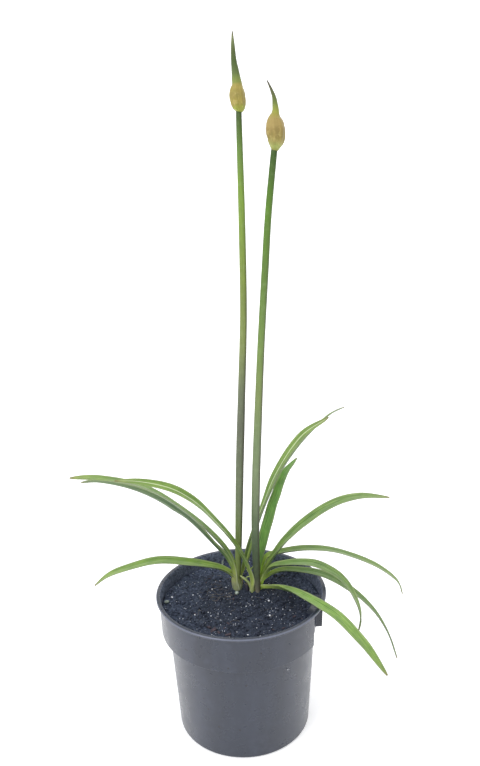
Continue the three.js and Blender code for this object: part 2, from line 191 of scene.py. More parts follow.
forward = Vector((0, cos(PITCH), -sin(PITCH)))
level = Vector((1, 0, 0))
drop = forward.cross(level)
right = cos(ROLL) * level + sin(ROLL) * drop
down = -sin(ROLL) * level + cos(ROLL) * drop
lens = bpy.data.cameras.new("studio_camera")
lens.sensor_width = SENSOR
lens.lens = FOCAL_PIXELS * SENSOR / IMAGE_HEIGHT
lens.clip_start, lens.clip_end = 0.01, 30
camera = bpy.data.objects.new("studio_camera", lens)
camera.matrix_world = Matrix((
    (right.x, -down.x, -forward.x, EYE.x),
    (right.y, -down.y, -forward.y, EYE.y),
    (right.z, -down.z, -forward.z, EYE.z),
    (0, 0, 0, 1),
))
bpy.context.scene.collection.objects.link(camera)
bpy.context.scene.camera = camera
print("lens, mm:", round(lens.lens, 2))

# %% [markdown]
# ## The white studio
# The pot stands on a white sweep, paper that runs along the table and curves up behind, so that no
# corner shows. A flat plane would show its horizon. A sheet drawn out of one edge, with its fold
# bevelled round, is quick and has no seam.

# %% Paper sweep
PAPER_HALF_WIDTH, PAPER_FRONT, FOLD_RADIUS = 2.2, -2.0, 0.8
PAPER_LEVEL = -0.3 * MM  # a little below the pot's foot, so that the two never share a plane
ALONG_THE_TABLE, UP_THE_WALL = (0, 3.6, 0), (0, 0.1, 2.6)
paper_form = bmesh.new()
corner_row = [paper_form.verts.new((x, PAPER_FRONT, PAPER_LEVEL))
              for x in (-PAPER_HALF_WIDTH, PAPER_HALF_WIDTH)]
paper_edge = paper_form.edges.new(corner_row)
for step in (ALONG_THE_TABLE, UP_THE_WALL):
    drawn = bmesh.ops.extrude_edge_only(paper_form, edges=[paper_edge])["geom"]
    row = [item for item in drawn if isinstance(item, bmesh.types.BMVert)]
    bmesh.ops.translate(paper_form, verts=row, vec=step)
    paper_edge = next(edge for edge in paper_form.edges if set(edge.verts) == set(row))
fold = [edge for edge in paper_form.edges if len(edge.link_faces) == 2]
bmesh.ops.bevel(paper_form, geom=fold, offset=FOLD_RADIUS, segments=16, profile=0.5, affect="EDGES",
                material=-1)
bmesh.ops.recalc_face_normals(paper_form, faces=paper_form.faces)
for face in paper_form.faces:
    face.smooth = True
paper_mesh = bpy.data.meshes.new("paper_sweep")
paper_form.to_mesh(paper_mesh)
paper_form.free()
paper_sweep = bpy.data.objects.new("paper_sweep", paper_mesh)
bpy.context.scene.collection.objects.link(paper_sweep)

# Matt coated paper: it glows a little with the light that a real studio would bounce back at it.
paper, tree, shader = new_material(
    "matt_white_paper", roughness=0.9, ior=1.45, Emission_Strength=0.38, Emission_Color=linear("#ffffff"))
paper_cloud = add(tree, "ShaderNodeTexNoise", {
    "Vector": add(tree, "ShaderNodeTexCoord").outputs["Object"], "Scale": 3.0, "Detail": 2.0})
paper_white = add(tree, "ShaderNodeValToRGB", {"Fac": paper_cloud.outputs[0]},
                  stops=[(0.3, "#f6f6f7"), (0.7, "#fbfbfb")])
tree.links.new(paper_white.outputs[0], shader.inputs["Base Color"])
paper_mesh.materials.append(paper)
print("paper sweep:", len(paper_mesh.polygons), "faces")

# %% Soft lights
# The bright paper behind gives the pot the pale rims of a semi-gloss plastic. The room itself is
# dimmer, and two wide soft boxes, one high at the front left and one overhead, round off the leaves.
world = bpy.data.worlds.new("white_room")
world.use_nodes = True
world.node_tree.nodes.clear()
room = add(world.node_tree, "ShaderNodeBackground", {"Color": linear("#fdfdff"), "Strength": 0.75})
add(world.node_tree, "ShaderNodeOutputWorld", {"Surface": room.outputs[0]})
bpy.context.scene.world = world
# the plain sRGB view keeps the hex colours of the finishes as they are
bpy.context.scene.view_settings.view_transform = "Standard"


def soft_box(name, place, target, size, watts):
    lamp = bpy.data.lights.new(name, "AREA")
    lamp.shape, lamp.size, lamp.size_y = "RECTANGLE", size[0], size[1]
    lamp.energy = watts
    lamp.color = linear("#fcfcff")[:3]
    holder = bpy.data.objects.new(name, lamp)
    holder.location = place
    holder.rotation_euler = (Vector(target) - Vector(place)).to_track_quat("-Z", "Y").to_euler()
    bpy.context.scene.collection.objects.link(holder)
    print(name, watts, "W")


soft_box("front_left_box", (-1.1, -1.0, 1.5), (0, 0, 0.2), (1.2, 1.2), 18)
soft_box("top_box", (0.3, 0.1, 1.9), (0, 0, 0.1), (1.6, 1.6), 9)

# %% [markdown]
# ## The pot
# A nursery pot is moulded in one thin wall of polypropylene: a tapering body, a step, a wider band
# and a rolled lip. A turned part like this could be a lathe curve with a Screw modifier. Spinning
# the section of the wall with bmesh leaves a plain mesh that the label recess and the drain holes
# can be cut from, and a bevel on its rings gives every moulded corner its radius.

# %% Pot sizes
# all in millimetres; the section lists radius and height, from the middle of the floor outwards
POT_STEPS = 160
FOOT_BEVEL, CORNER_BEVEL = 1.3, 0.55
WALL_SECTION = [
    (0, 0), (12.3, 0), (13.5, 1.5), (44, 1.5), (45.3, 0), (51.1, 0), (56.15, 80.5), (61.9, 81.2),
    (62.7, 106.8), (65, 108.3), (65, 110), (62.0, 110), (61.3, 106.8), (60.9, 82.6), (54.9, 82.1),
    (49.9, 3), (0, 3),
]
RECESS_FROM, RECESS_TO = radians(-32), radians(-8)
RECESS_RADIUS, RECESS_BOTTOM, RECESS_TOP = 57.0, 78.2, 106.0
LINER_WALL, LINER_OVERLAP = 1.3, 0.023
DRAIN_COUNT, DRAIN_RADIUS, DRAIN_CIRCLE = 8, 4.5, 29.0
print("pot section:", len(WALL_SECTION), "corners, lip", WALL_SECTION[9][0] * 2, "mm wide")

# %% Spin the wall
pot_form = bmesh.new()
section = [pot_form.verts.new((radius * MM, 0, height * MM)) for radius, height in WALL_SECTION]
for low, high in zip(section, section[1:]):
    pot_form.edges.new((low, high))
bmesh.ops.spin(pot_form, geom=pot_form.verts[:] + pot_form.edges[:], cent=(0, 0, 0), axis=(0, 0, 1),
               angle=2 * pi, steps=POT_STEPS, use_merge=True)
bmesh.ops.remove_doubles(pot_form, verts=pot_form.verts, dist=0.01 * MM)
bmesh.ops.recalc_face_normals(pot_form, faces=pot_form.faces)


def bevel_rings(form, radius, height, offset, segments):
    """Round off the ring of edges that runs through one corner of the section."""
    ring = []
    for edge in form.edges:
        ends = [vertex.co for vertex in edge.verts]
        if all(abs(hypot(co.x, co.y) - radius * MM) < 0.02 * MM for co in ends) and all(
                abs(co.z - height * MM) < 0.02 * MM for co in ends):
            ring.append(edge)
    bmesh.ops.bevel(form, geom=ring, offset=offset * MM, segments=segments, profile=0.5,
                    affect="EDGES", material=-1, clamp_overlap=True)
    return len(ring)


rounded = bevel_rings(pot_form, 51.1, 0, FOOT_BEVEL, 4)
for radius, height in ((56.15, 80.5), (61.9, 81.2), (65, 108.3), (65, 110), (62.0, 110), (61.3, 106.8),
                       (60.9, 82.6), (54.9, 82.1), (49.9, 3), (45.3, 0), (62.7, 106.8)):
    rounded += bevel_rings(pot_form, radius, height, CORNER_BEVEL, 3)
print("pot:", len(pot_form.faces), "faces,", rounded, "edges rounded")

# %% Cut the label recess and the drain holes
def ring_slice(name, inner, outer, start, end, bottom, top, steps=14):
    """An upright slice of a ring: one wall face, spun from one direction to the other."""
    form = bmesh.new()
    corners = [(inner, bottom), (outer, bottom), (outer, top), (inner, top)]
    wall = form.faces.new([form.verts.new((radius * MM, 0, height * MM)) for radius, height in corners])
    bmesh.ops.rotate(form, verts=form.verts, cent=(0, 0, 0), matrix=Matrix.Rotation(start, 3, "Z"))
    swept = bmesh.ops.spin(form, geom=[wall], cent=(0, 0, 0), axis=(0, 0, 1), angle=end - start,
                           steps=steps)
    print(name, len(swept["geom_last"]), "pieces in its end wall")
    bmesh.ops.recalc_face_normals(form, faces=form.faces)
    return form


def helper_object(name, form):
    mesh = bpy.data.meshes.new(name)
    form.to_mesh(mesh)
    form.free()
    thing = bpy.data.objects.new(name, mesh)
    bpy.context.scene.collection.objects.link(thing)
    return thing


# the recess needs a wall of its own behind it: a liner, inside the band and a little wider
liner_form = ring_slice("liner", RECESS_RADIUS - LINER_WALL, 61.6, RECESS_FROM - LINER_OVERLAP,
                        RECESS_TO + LINER_OVERLAP, 81.6, RECESS_TOP + LINER_WALL)
recess_form = ring_slice("recess", RECESS_RADIUS, 70, RECESS_FROM, RECESS_TO, RECESS_BOTTOM, RECESS_TOP)
upright = [edge for edge in recess_form.edges
           if abs(edge.verts[0].co.z - edge.verts[1].co.z) > 5 * MM
           and edge.verts[0].co.xy.length < 58 * MM
           and len(edge.link_faces) == 2 and edge.calc_face_angle(0) > 1]
bmesh.ops.bevel(recess_form, geom=upright, offset=1.2 * MM, segments=4, profile=0.5, affect="EDGES",
                material=-1)
drain_form = bmesh.new()
for hole in range(DRAIN_COUNT):
    turn = 2 * pi * (hole + 0.5) / DRAIN_COUNT
    place = Matrix.Translation((DRAIN_CIRCLE * cos(turn) * MM, DRAIN_CIRCLE * sin(turn) * MM, 1.5 * MM))
    bmesh.ops.create_cone(drain_form, cap_ends=True, segments=28, radius1=DRAIN_RADIUS * MM,
                          radius2=DRAIN_RADIUS * MM, depth=8 * MM, matrix=place)

pot_blank = helper_object("pot_blank", pot_form)
for name, form, operation in (("liner", liner_form, "UNION"), ("recess", recess_form, "DIFFERENCE"),
                              ("drains", drain_form, "DIFFERENCE")):
    tool = helper_object(name, form)
    cut = pot_blank.modifiers.new(name, "BOOLEAN")
    cut.object, cut.operation, cut.solver = tool, operation, "EXACT"
    baked = bpy.data.meshes.new_from_object(pot_blank.evaluated_get(bpy.context.evaluated_depsgraph_get()))
    pot_blank.modifiers.clear()
    pot_blank.data = baked
    bpy.data.objects.remove(tool)
pot_form = bmesh.new()
pot_form.from_mesh(pot_blank.data)
bpy.data.objects.remove(pot_blank)
bmesh.ops.remove_doubles(pot_form, verts=pot_form.verts, dist=0.005 * MM)
open_edges = sum(1 for edge in pot_form.edges if len(edge.link_faces) != 2)
print("pot after cutting:", len(pot_form.faces), "faces,", open_edges, "open edges")

# %% [markdown]
# ### Finish of the pot
# Nursery pots are injection moulded from recycled polypropylene coloured with a little carbon black.
# The tool is lightly polished, so the skin is semi-gloss: dark and bluish face on, pale where it
# turns away. Handling leaves soft scuffs, and dry peat leaves dust and specks. Noise in real sizes
# drives a small change of colour and a larger one of roughness.

# %% Polypropylene
pot_plastic, tree, shader = new_material("moulded_polypropylene", roughness=0.3, ior=1.49)
coordinates = add(tree, "ShaderNodeTexCoord")
spot = coordinates.outputs["Object"]
flow = add(tree, "ShaderNodeMapping", {"Vector": spot, "Scale": (1.0, 1.0, 0.22)})
# melt flow clouds about 14 mm wide, drawn out upwards
cloud = add(tree, "ShaderNodeTexNoise", {"Vector": flow.outputs[0], "Scale": 1 / (14 * MM), "Detail": 3.0})
# the moulded grain, real pits of 0.1 mm, drawn as 0.5 mm so that they still show
grain = add(tree, "ShaderNodeTexNoise", {"Vector": spot, "Scale": 1 / (0.5 * MM), "Detail": 2.0})
# soft scuffs, 9 mm across
scuff = add(tree, "ShaderNodeTexNoise", {"Vector": spot, "Scale": 1 / (9 * MM), "Detail": 3.0,
                                         "Roughness": 0.5})
scuffed = add(tree, "ShaderNodeMapRange", {0: scuff.outputs[0], 1: 0.56, 2: 0.8, 3: 0.0, 4: 0.6})
tone = add(tree, "ShaderNodeValToRGB", {"Fac": cloud.outputs[0]},
           stops=[(0.25, "#2a2f3a"), (0.55, "#2f3542"), (0.8, "#353b49")])
dusty = add(tree, "ShaderNodeMix", {0: scuffed.outputs[0], 6: tone.outputs[0], 7: linear("#414654")},
            data_type="RGBA")
# specks of dried peat, each about 0.7 mm, one in every 8 mm or so
cell = add(tree, "ShaderNodeTexVoronoi", {"Vector": spot, "Scale": 1 / (8 * MM)})
speck = add(tree, "ShaderNodeMapRange", {0: cell.outputs["Distance"], 1: 0.06, 2: 0.1, 3: 1.0, 4: 0.0})
speckled = add(tree, "ShaderNodeMix", {0: speck.outputs[0], 6: dusty.outputs[2], 7: linear("#1b1715")},
               data_type="RGBA")
# the lip's outer edge is painted pale, a painted highlight along the rim; its inner half is dull from wet
# peat; and the inner wall carries a pale coat, partly a film of dried peat and lime, partly painted light
place = add(tree, "ShaderNodeSeparateXYZ", {0: spot})
outward = add(tree, "ShaderNodeCombineXYZ", {0: place.outputs[0], 1: place.outputs[1]})
radius = add(tree, "ShaderNodeVectorMath", {0: outward.outputs[0]}, operation="LENGTH")
heading = add(tree, "ShaderNodeVectorMath", {0: outward.outputs[0]}, operation="NORMALIZE")
facing = add(tree, "ShaderNodeVectorMath", {0: heading.outputs[0], 1: coordinates.outputs["Normal"]},
             operation="DOT_PRODUCT").outputs["Value"]
crust = add(tree, "ShaderNodeTexNoise", {"Vector": spot, "Scale": 1 / (2 * MM), "Detail": 5.0,
                                         "Roughness": 0.75})
# the inner wall is painted pale: partly a film of dried peat, partly painted light that lifts its shade
pale_film_and_painted_light = add(tree, "ShaderNodeValToRGB", {"Fac": crust.outputs[0]},
           stops=[(0.34, "#2e3440"), (0.5, "#596173"), (0.62, "#747d92"), (0.7, "#a9afbc")]).outputs[0]
wear_and_painted_light = speckled.outputs[2]
for source, low, high, most, bottom, colour in (
        # painted highlight: the lip's outer edge painted pale
        (radius.outputs["Value"], 64.2 * MM, 64.6 * MM, 0.8, 109 * MM, linear("#6d7282")),
        (radius.outputs["Value"], 64.0 * MM, 63.4 * MM, 0.85, 109 * MM, linear("#323743")),
        (facing, -0.2, -0.6, 0.95, 84 * MM, pale_film_and_painted_light)):
    share = add(tree, "ShaderNodeMapRange", {0: source, 1: low, 2: high, 3: 0.0, 4: most})
    above = add(tree, "ShaderNodeMath", {0: place.outputs[2], 1: bottom}, operation="GREATER_THAN")
    share = add(tree, "ShaderNodeMath", {0: share.outputs[0], 1: above.outputs[0]}, operation="MULTIPLY")
    wear_and_painted_light = add(tree, "ShaderNodeMix", {0: share.outputs[0], 6: wear_and_painted_light, 7: colour},
               data_type="RGBA").outputs[2]
tree.links.new(wear_and_painted_light, shader.inputs["Base Color"])
# scuffs and the film on the inner wall take the gloss away
gloss = add(tree, "ShaderNodeMapRange", {0: scuff.outputs[0], 1: 0.35, 2: 0.75, 3: 0.26, 4: 0.36})
dulled = add(tree, "ShaderNodeMath", {0: share.outputs[0], 1: 0.4, 2: gloss.outputs[0]},
             operation="MULTIPLY_ADD")
tree.links.new(dulled.outputs[0], shader.inputs["Roughness"])
skin = add(tree, "ShaderNodeBump", {"Height": grain.outputs[0], "Strength": 0.06, "Distance": 0.1 * MM})
tree.links.new(skin.outputs[0], shader.inputs["Normal"])
make_piece("nursery_pot", pot_form, pot_plastic, ["pot"], sharp=28)

# %% [markdown]
# ## The peat
# The pot is filled with dark peat, open and crumbly, a little higher towards the wall. A flat disc
# with bump would look painted on, and thousands of loose crumbs would be heavy. So the bed is one
# fine sheet that is lifted into lumps and crumbs, and only the bits that catch the eye lie on it as
# pieces of their own: white perlite, clods, bark and roots.

# %% The bed's relief
SOIL_LEVEL, SOIL_RISE = 98.5, 1.6
SOIL_RADIUS, RECESS_SOIL_RADIUS = 60.4, 54.7
SHOOTS = (Vector((-4.1, 19.5)), Vector((12.7, 17.8)))
LUMPS, LUMP_REACH, SOLID_SEED = 110, 60, 41


def seeded(seed):
    """Numbers from 0 to 1 in a fixed order, the same ones that shape the plain solid."""
    state = seed
    while True:
        state = (state * 1664525 + 1013904223) % 4294967296
        yield state / 4294967296


draw = seeded(SOLID_SEED)
lumps = []
for _ in range(LUMPS):
    turn, reach = 2 * pi * next(draw), LUMP_REACH * sqrt(next(draw))
    size = 4 + 6 * next(draw)
    lumps.append((reach * cos(turn), reach * sin(turn), size, (next(draw) - 0.35) * 1.9))


def bed_height(x, y):
    """The height of the lumpy bed in mm, without its crumbs."""
    height = SOIL_LEVEL + SOIL_RISE * ease(hypot(x, y), 15, 58)
    near = min((shoot - Vector((x, y))).length for shoot in SHOOTS)
    calm = ease(near, 7, 16)
    height += 1.3 * (1 - ease(near, 4, 14))
    for lump_x, lump_y, size, lift in lumps:
        away = hypot(x - lump_x, y - lump_y) / size
        if away < 1:
            height += calm * lift * (0.5 + 0.5 * cos(pi * away))
    return height


def crumbs(x, y):
    """Crumbs of 1 to 4 mm on the bed, as a height in mm."""
    coarse = noise.voronoi(Vector((x / 3.6, y / 3.6, 3.0)))[0]
    fine = noise.voronoi(Vector((x / 1.7, y / 1.7, 8.0)))[0]
    loose = noise.noise(Vector((x / 7.0, y / 7.0, 1.0)))
    grit = noise.noise(Vector((x / 0.8, y / 0.8, 5.0)))
    return (0.55 - coarse[0]) * (1.5 + loose) + (0.5 - fine[0]) * 0.8 + 0.22 * grit


print("bed height by the left shoot, mm:", round(bed_height(*SHOOTS[0]), 2))

# %% Lift the sheet and close it below
BED_CELLS = 250
# the sides, as radius and height in mm: down the band, in at the step and down the body to the floor
BED_SIDES = ((60.2, 84.2), (59.6, 83.3), (55.2, 83.0), (54.3, 81.2), (49.6, 6.0), (46.8, 3.4))
bed_form = bmesh.new()
bmesh.ops.create_grid(bed_form, x_segments=BED_CELLS, y_segments=BED_CELLS, size=1.0)


def rim_radius(turn):
    """The bed's radius in one direction: it steps in where the label recess bulges inwards."""
    inside = min(ease(turn, radians(-36.5), radians(-34.2)), 1 - ease(turn, radians(-5.8), radians(-3.5)))
    return blend(SOIL_RADIUS, RECESS_SOIL_RADIUS, inside)


def to_disc(x, y):
    """A point of the square sheet, moved to the disc: the direction and the share of the radius."""
    out = max(abs(x), abs(y))
    if out == 0:
        return 0.0, 0.0
    if abs(x) >= abs(y):
        turn = y / x * pi / 4 + (0 if x > 0 else pi)
    else:
        turn = (pi / 2 if y > 0 else -pi / 2) - x / y * pi / 4
    return (turn + pi) % (2 * pi) - pi, out


rim = [edge for edge in bed_form.edges if len(edge.link_faces) == 1]
for vertex in bed_form.verts:
    turn, out = to_disc(vertex.co.x, vertex.co.y)
    x, y = out * rim_radius(turn) * cos(turn), out * rim_radius(turn) * sin(turn)
    height = bed_height(x, y) + crumbs(x, y) * (1 - 0.7 * ease(out, 0.985, 1.0))
    vertex.co = Vector((x, y, height)) * MM

for radius, height in BED_SIDES:
    drawn = bmesh.ops.extrude_edge_only(bed_form, edges=rim)["geom"]
    row = {item for item in drawn if isinstance(item, bmesh.types.BMVert)}
    for vertex in row:
        turn = atan2(vertex.co.y, vertex.co.x)
        reach = min(radius, rim_radius(turn)) * MM
        vertex.co = Vector((reach * cos(turn), reach * sin(turn), height * MM))
    rim = [edge for edge in bed_form.edges if edge.verts[0] in row and edge.verts[1] in row]
bmesh.ops.edgeloop_fill(bed_form, edges=rim)
bmesh.ops.recalc_face_normals(bed_form, faces=bed_form.faces)
print("peat bed:", len(bed_form.faces), "faces")

# %% [markdown]
# ### Finish of the peat
# Damp peat is nearly black, and in cool studio light it looks a cold blue black. It has no gloss
# except on wet crumbs. One noise at crumb size mixes the blacks. A finer one changes the gloss and
# drives a bump that breaks up the light below the size that the sheet's own crumbs reach.

# %% Damp peat
def peat_material(name, dark, mid, light, crumb_mm):
    """Peat in three blacks, mixed at the size of its crumbs."""
    material, tree, shader = new_material(name, roughness=0.9, ior=1.4, Specular_IOR_Level=0.35)
    spot = add(tree, "ShaderNodeTexCoord").outputs["Object"]
    crumb = add(tree, "ShaderNodeTexNoise", {"Vector": spot, "Scale": 1 / (crumb_mm * MM),
                                             "Detail": 5.0, "Roughness": 0.7})
    colour = add(tree, "ShaderNodeValToRGB", {"Fac": crumb.outputs[0]},
                 stops=[(0.3, dark), (0.52, mid), (0.72, light)])
    # towards the wall, most of all at the back, the peat is painted a paler slate: painted light that
    #     # makes up for the shade the wall casts on it
    level = add(tree, "ShaderNodeMapping", {"Vector": spot, "Location": (-6 * MM, 12 * MM, 0.0),
                                            "Scale": (1.0, 1.0, 0.0)})
    away = add(tree, "ShaderNodeVectorMath", {0: level.outputs[0]}, operation="LENGTH")
    painted_wall_light = add(tree, "ShaderNodeMapRange", {0: away.outputs["Value"], 1: 34 * MM, 2: 62 * MM,
                                             3: 1.1, 4: 1.95})
    lifted_colour = add(tree, "ShaderNodeVectorMath", {0: colour.outputs[0], 3: painted_wall_light.outputs[0]},
                operation="SCALE")
    tree.links.new(lifted_colour.outputs[0], shader.inputs["Base Color"])
    # single fibres are 0.1 mm across, drawn as 0.45 mm so that they still show
    fibre = add(tree, "ShaderNodeTexNoise", {"Vector": spot, "Scale": 1 / (0.45 * MM), "Detail": 3.0})
    damp = add(tree, "ShaderNodeMapRange", {0: fibre.outputs[0], 1: 0.3, 2: 0.7, 3: 0.62, 4: 0.95})
    tree.links.new(damp.outputs[0], shader.inputs["Roughness"])
    relief = add(tree, "ShaderNodeBump", {"Height": fibre.outputs[0], "Strength": 0.7,
                                          "Distance": 0.4 * MM})
    tree.links.new(relief.outputs[0], shader.inputs["Normal"])
    return material


damp_peat = peat_material("damp_peat", "#0d1016", "#2b3240", "#505766", 1.8)
make_piece("peat_bed", bed_form, damp_peat, ["soil"], sharp=60)

# %% Scattered bits: shared tools
SCATTER_SEED = 5
chance = Random(SCATTER_SEED)


def on_bed(x, y, lift=0.0):
    """The point of the bed over x and y, all in mm, in metres."""
    return Vector((x, y, bed_height(x, y) + crumbs(x, y) + lift)) * MM


def free_spot(reach=58.5, centre=(0, 0), keep_off=6.5):
    """A random place on the bed that isn't under a shoot or inside the recess bulge."""
    while True:
        turn, away = chance.uniform(-pi, pi), reach * sqrt(chance.random())
        x, y = centre[0] + away * cos(turn), centre[1] + away * sin(turn)
        if hypot(x, y) > rim_radius(atan2(y, x)) - 1.8:
            continue
        if all((shoot - Vector((x, y))).length > keep_off for shoot in SHOOTS):
            return x, y


def add_grain(form, x, y, size, flat=0.75, sunk=0.15, rough=0.22, finer=1):
    """One rough grain: a small icosphere, squeezed, turned and jittered."""
    grain = bmesh.ops.create_icosphere(form, subdivisions=finer, radius=size / 2 * MM)["verts"]
    for vertex in grain:
        vertex.co *= 1 + chance.uniform(-rough, rough)
    squeeze = Matrix.Diagonal((1.0, chance.uniform(0.6, 0.95), flat, 1.0))
    tilt = Matrix.Rotation(chance.uniform(-0.5, 0.5), 4, "X") @ Matrix.Rotation(
        chance.uniform(0, 2 * pi), 4, "Z")
    place = Matrix.Translation(on_bed(x, y, size * flat * (0.5 - sunk)))
    bmesh.ops.transform(form, matrix=place @ tilt @ squeeze, verts=grain)


print("height of the crumbs in the middle, mm:", round(crumbs(0, 0), 2))

# %% Clods of peat
CLODS, CRUMBS = 70, 650
clod_form = bmesh.new()
for _ in range(CLODS):
    add_grain(clod_form, *free_spot(), chance.uniform(2.4, 4.2), sunk=0.2, rough=0.2, finer=2)
for _ in range(CRUMBS):
    add_grain(clod_form, *free_spot(), chance.uniform(0.8, 2.3), sunk=0.1)
bmesh.ops.recalc_face_normals(clod_form, faces=clod_form.faces)
clod_peat = peat_material("crumbled_peat", "#14171f", "#2f3543", "#5a5f6c", 1.2)
make_piece("peat_clods", clod_form, clod_peat, sharp=75)

# %% [markdown]
# ### Perlite, bark and roots
# Growers mix perlite into peat: brittle white grains of blown volcanic glass, most under 2 mm. Bits
# of reddish bark and pale brown root fibres lie among them. Each kind is one piece of many small
# closed shapes with only a few dozen faces each, because there are hundreds of them. Their finishes
# are mottled all in the same way, so one function makes them.

# %% A mottled finish
def mottled_material(name, roughness, ior, patch_mm, detail, stops):
    """A matt finish that changes its colour in patches of one size."""
    material, tree, shader = new_material(name, roughness=roughness, ior=ior)
    spot = add(tree, "ShaderNodeTexCoord").outputs["Object"]
    patches = add(tree, "ShaderNodeTexNoise", {"Vector": spot, "Scale": 1 / (patch_mm * MM),
                                               "Detail": detail})
    colour = add(tree, "ShaderNodeValToRGB", {"Fac": patches.outputs[0]}, stops=stops)
    tree.links.new(colour.outputs[0], shader.inputs["Base Color"])
    print(name, "patches of", patch_mm, "mm")
    return material


# %% Perlite
perlite_form = bmesh.new()
# how many grains, how far round which middle, and their sizes: all over the bed, denser in front
for count, reach, middle, sizes, sunk in (
        (150, 58.5, (0, 0), (0.45, 0.5, 0.6, 0.7, 0.9), -0.05),
        (120, 44, (10, -14), (0.4, 0.5, 0.6, 0.75), -0.1),
        (36, 26, (8, -16), (0.6, 0.8, 1.0, 1.2), -0.05)):
    for _ in range(count):
        add_grain(perlite_form, *free_spot(reach, middle), chance.choice(sizes), sunk=sunk)
LARGE_GRAINS = 13
for _ in range(LARGE_GRAINS):
    add_grain(perlite_form, *free_spot(50, (6, -12)), chance.uniform(1.2, 1.7), sunk=-0.1)
for x, y, size in ((-54.0, 5.4, 2.0), (24.3, 20.8, 1.8), (-35, -18, 1.5), (21, -20, 1.7)):
    add_grain(perlite_form, x, y, size, sunk=-0.05)
# two grains have stuck to the outside of the wall
for x, y, z, size in ((-1.2, -56.4, 79.2, 0.9), (32.2, -45.6, 71.0, 1.0)):
    bmesh.ops.create_icosphere(perlite_form, subdivisions=1, radius=size / 2 * MM,
                               matrix=Matrix.Translation(Vector((x, y, z)) * MM))
bmesh.ops.recalc_face_normals(perlite_form, faces=perlite_form.faces)
# blown glass foam: its broken bubbles scatter the light, so it is matt and nearly white
perlite = mottled_material("blown_perlite", 0.85, 1.5, 1.2, 3.0, [
    (0.3, "#a3a7b4"), (0.5, "#d6dae3"), (0.65, "#f8f9fc")])
make_piece("perlite_grains", perlite_form, perlite, sharp=20)

# %% Prills and moss
# slow-release fertiliser comes as resin-coated prills of 3 to 4 mm, and a tuft of moss has settled
# where the peat meets the back wall
loose_form = bmesh.new()
for x, y, size, long in ((-3.4, 11.0, 3.3, 1.0), (-57.6, -0.7, 2.6, 1.6)):
    prill = bmesh.ops.create_icosphere(loose_form, subdivisions=3, radius=size / 2 * MM)["verts"]
    place = Matrix.Translation(on_bed(x, y, 0.3 * size)) @ Matrix.Rotation(0.3, 4, "Z")
    bmesh.ops.transform(loose_form, matrix=place @ Matrix.Diagonal((long, 1.0, 0.85, 1.0)), verts=prill)
MOSS_CUSHIONS = 16
for step in range(MOSS_CUSHIONS):
    share = step / (MOSS_CUSHIONS - 1)
    add_grain(loose_form, -15.2 + chance.uniform(-0.9, 0.9), blend(54.5, 58.2, share),
              chance.uniform(0.9, 1.5), flat=1.0, sunk=-1.9 * share - 0.2)
bmesh.ops.recalc_face_normals(loose_form, faces=loose_form.faces)
# a prill's resin skin keeps some gloss under its film of grey green algae
prill_resin = mottled_material("resin_coated_prill", 0.4, 1.5, 1.5, 3.0, [
    (0.3, "#6f7d6f"), (0.55, "#98a399"), (0.75, "#bcc4ba")])
make_piece("prills_and_moss", loose_form, prill_resin, sharp=40)

# %% Bark chips
bark_form = bmesh.new()


def add_chip(x, y, length, breadth, thick, turn):
    """One flat chip: a cube, stretched, softened by a bevel and roughened."""
    chip = bmesh.ops.create_cube(bark_form, size=1.0)["verts"]
    edges = {edge for vertex in chip for edge in vertex.link_edges}
    size = Matrix.Diagonal((length * MM, breadth * MM, thick * MM, 1.0))
    bmesh.ops.transform(bark_form, matrix=size, verts=chip)
    soft = bmesh.ops.bevel(bark_form, geom=list(edges), offset=0.22 * thick * MM, segments=1,
                           profile=0.5, affect="EDGES", material=-1)["verts"]
    for vertex in soft:
        vertex.co += Vector((chance.uniform(-1, 1), chance.uniform(-1, 1), chance.uniform(-1, 1))) * (
            0.12 * breadth * MM)
    tilt = Matrix.Rotation(turn, 4, "Z") @ Matrix.Rotation(chance.uniform(-0.35, 0.35), 4, "Y")
    place = Matrix.Translation(on_bed(x, y, 0.3 * thick))
    bmesh.ops.transform(bark_form, matrix=place @ tilt, verts=soft)


for x, y, length, turn in ((-20.9, -37.8, 5.2, 0.5), (-16.5, -40.5, 3.6, 1.9), (-10.0, -43.8, 4.4, 0.1),
                           (-24, -34, 3.2, 2.4), (30, -38, 3.4, 0.8), (38, 2, 3.0, 1.2)):
    add_chip(x, y, length, length * 0.42, 1.1, turn)
SMALL_CHIPS = 30
for _ in range(SMALL_CHIPS):
    length = chance.uniform(1.2, 2.8)
    add_chip(*free_spot(), length, length * chance.uniform(0.25, 0.5), 0.7, chance.uniform(0, pi))
bmesh.ops.recalc_face_normals(bark_form, faces=bark_form.faces)
# bark that has rotted in the heap: dull, dark and a little red
bark = mottled_material("composted_bark", 0.8, 1.45, 1.6, 4.0, [
    (0.3, "#2b262e"), (0.5, "#453a40"), (0.72, "#66575c")])
make_piece("bark_chips", bark_form, bark, sharp=30)

# %% [markdown]
# ## Drawing out stems
# Roots, stalks, necks and buds are all round things that change slowly along their length. A curve
# with a bevel would give them one section only. Here a capped circle is extruded ring by ring and
# each new ring is put in its place, so that the section can swell, turn oval or lean.

# %% The ring-by-ring tool
MARKS = ("along", "across", "under", "tone", "crease")


def marked_form():
    """A bmesh whose points carry marks for the materials: how far along, how far across, and so on."""
    form = bmesh.new()
    for mark in MARKS:
        form.verts.layers.float.new(mark)
    return form


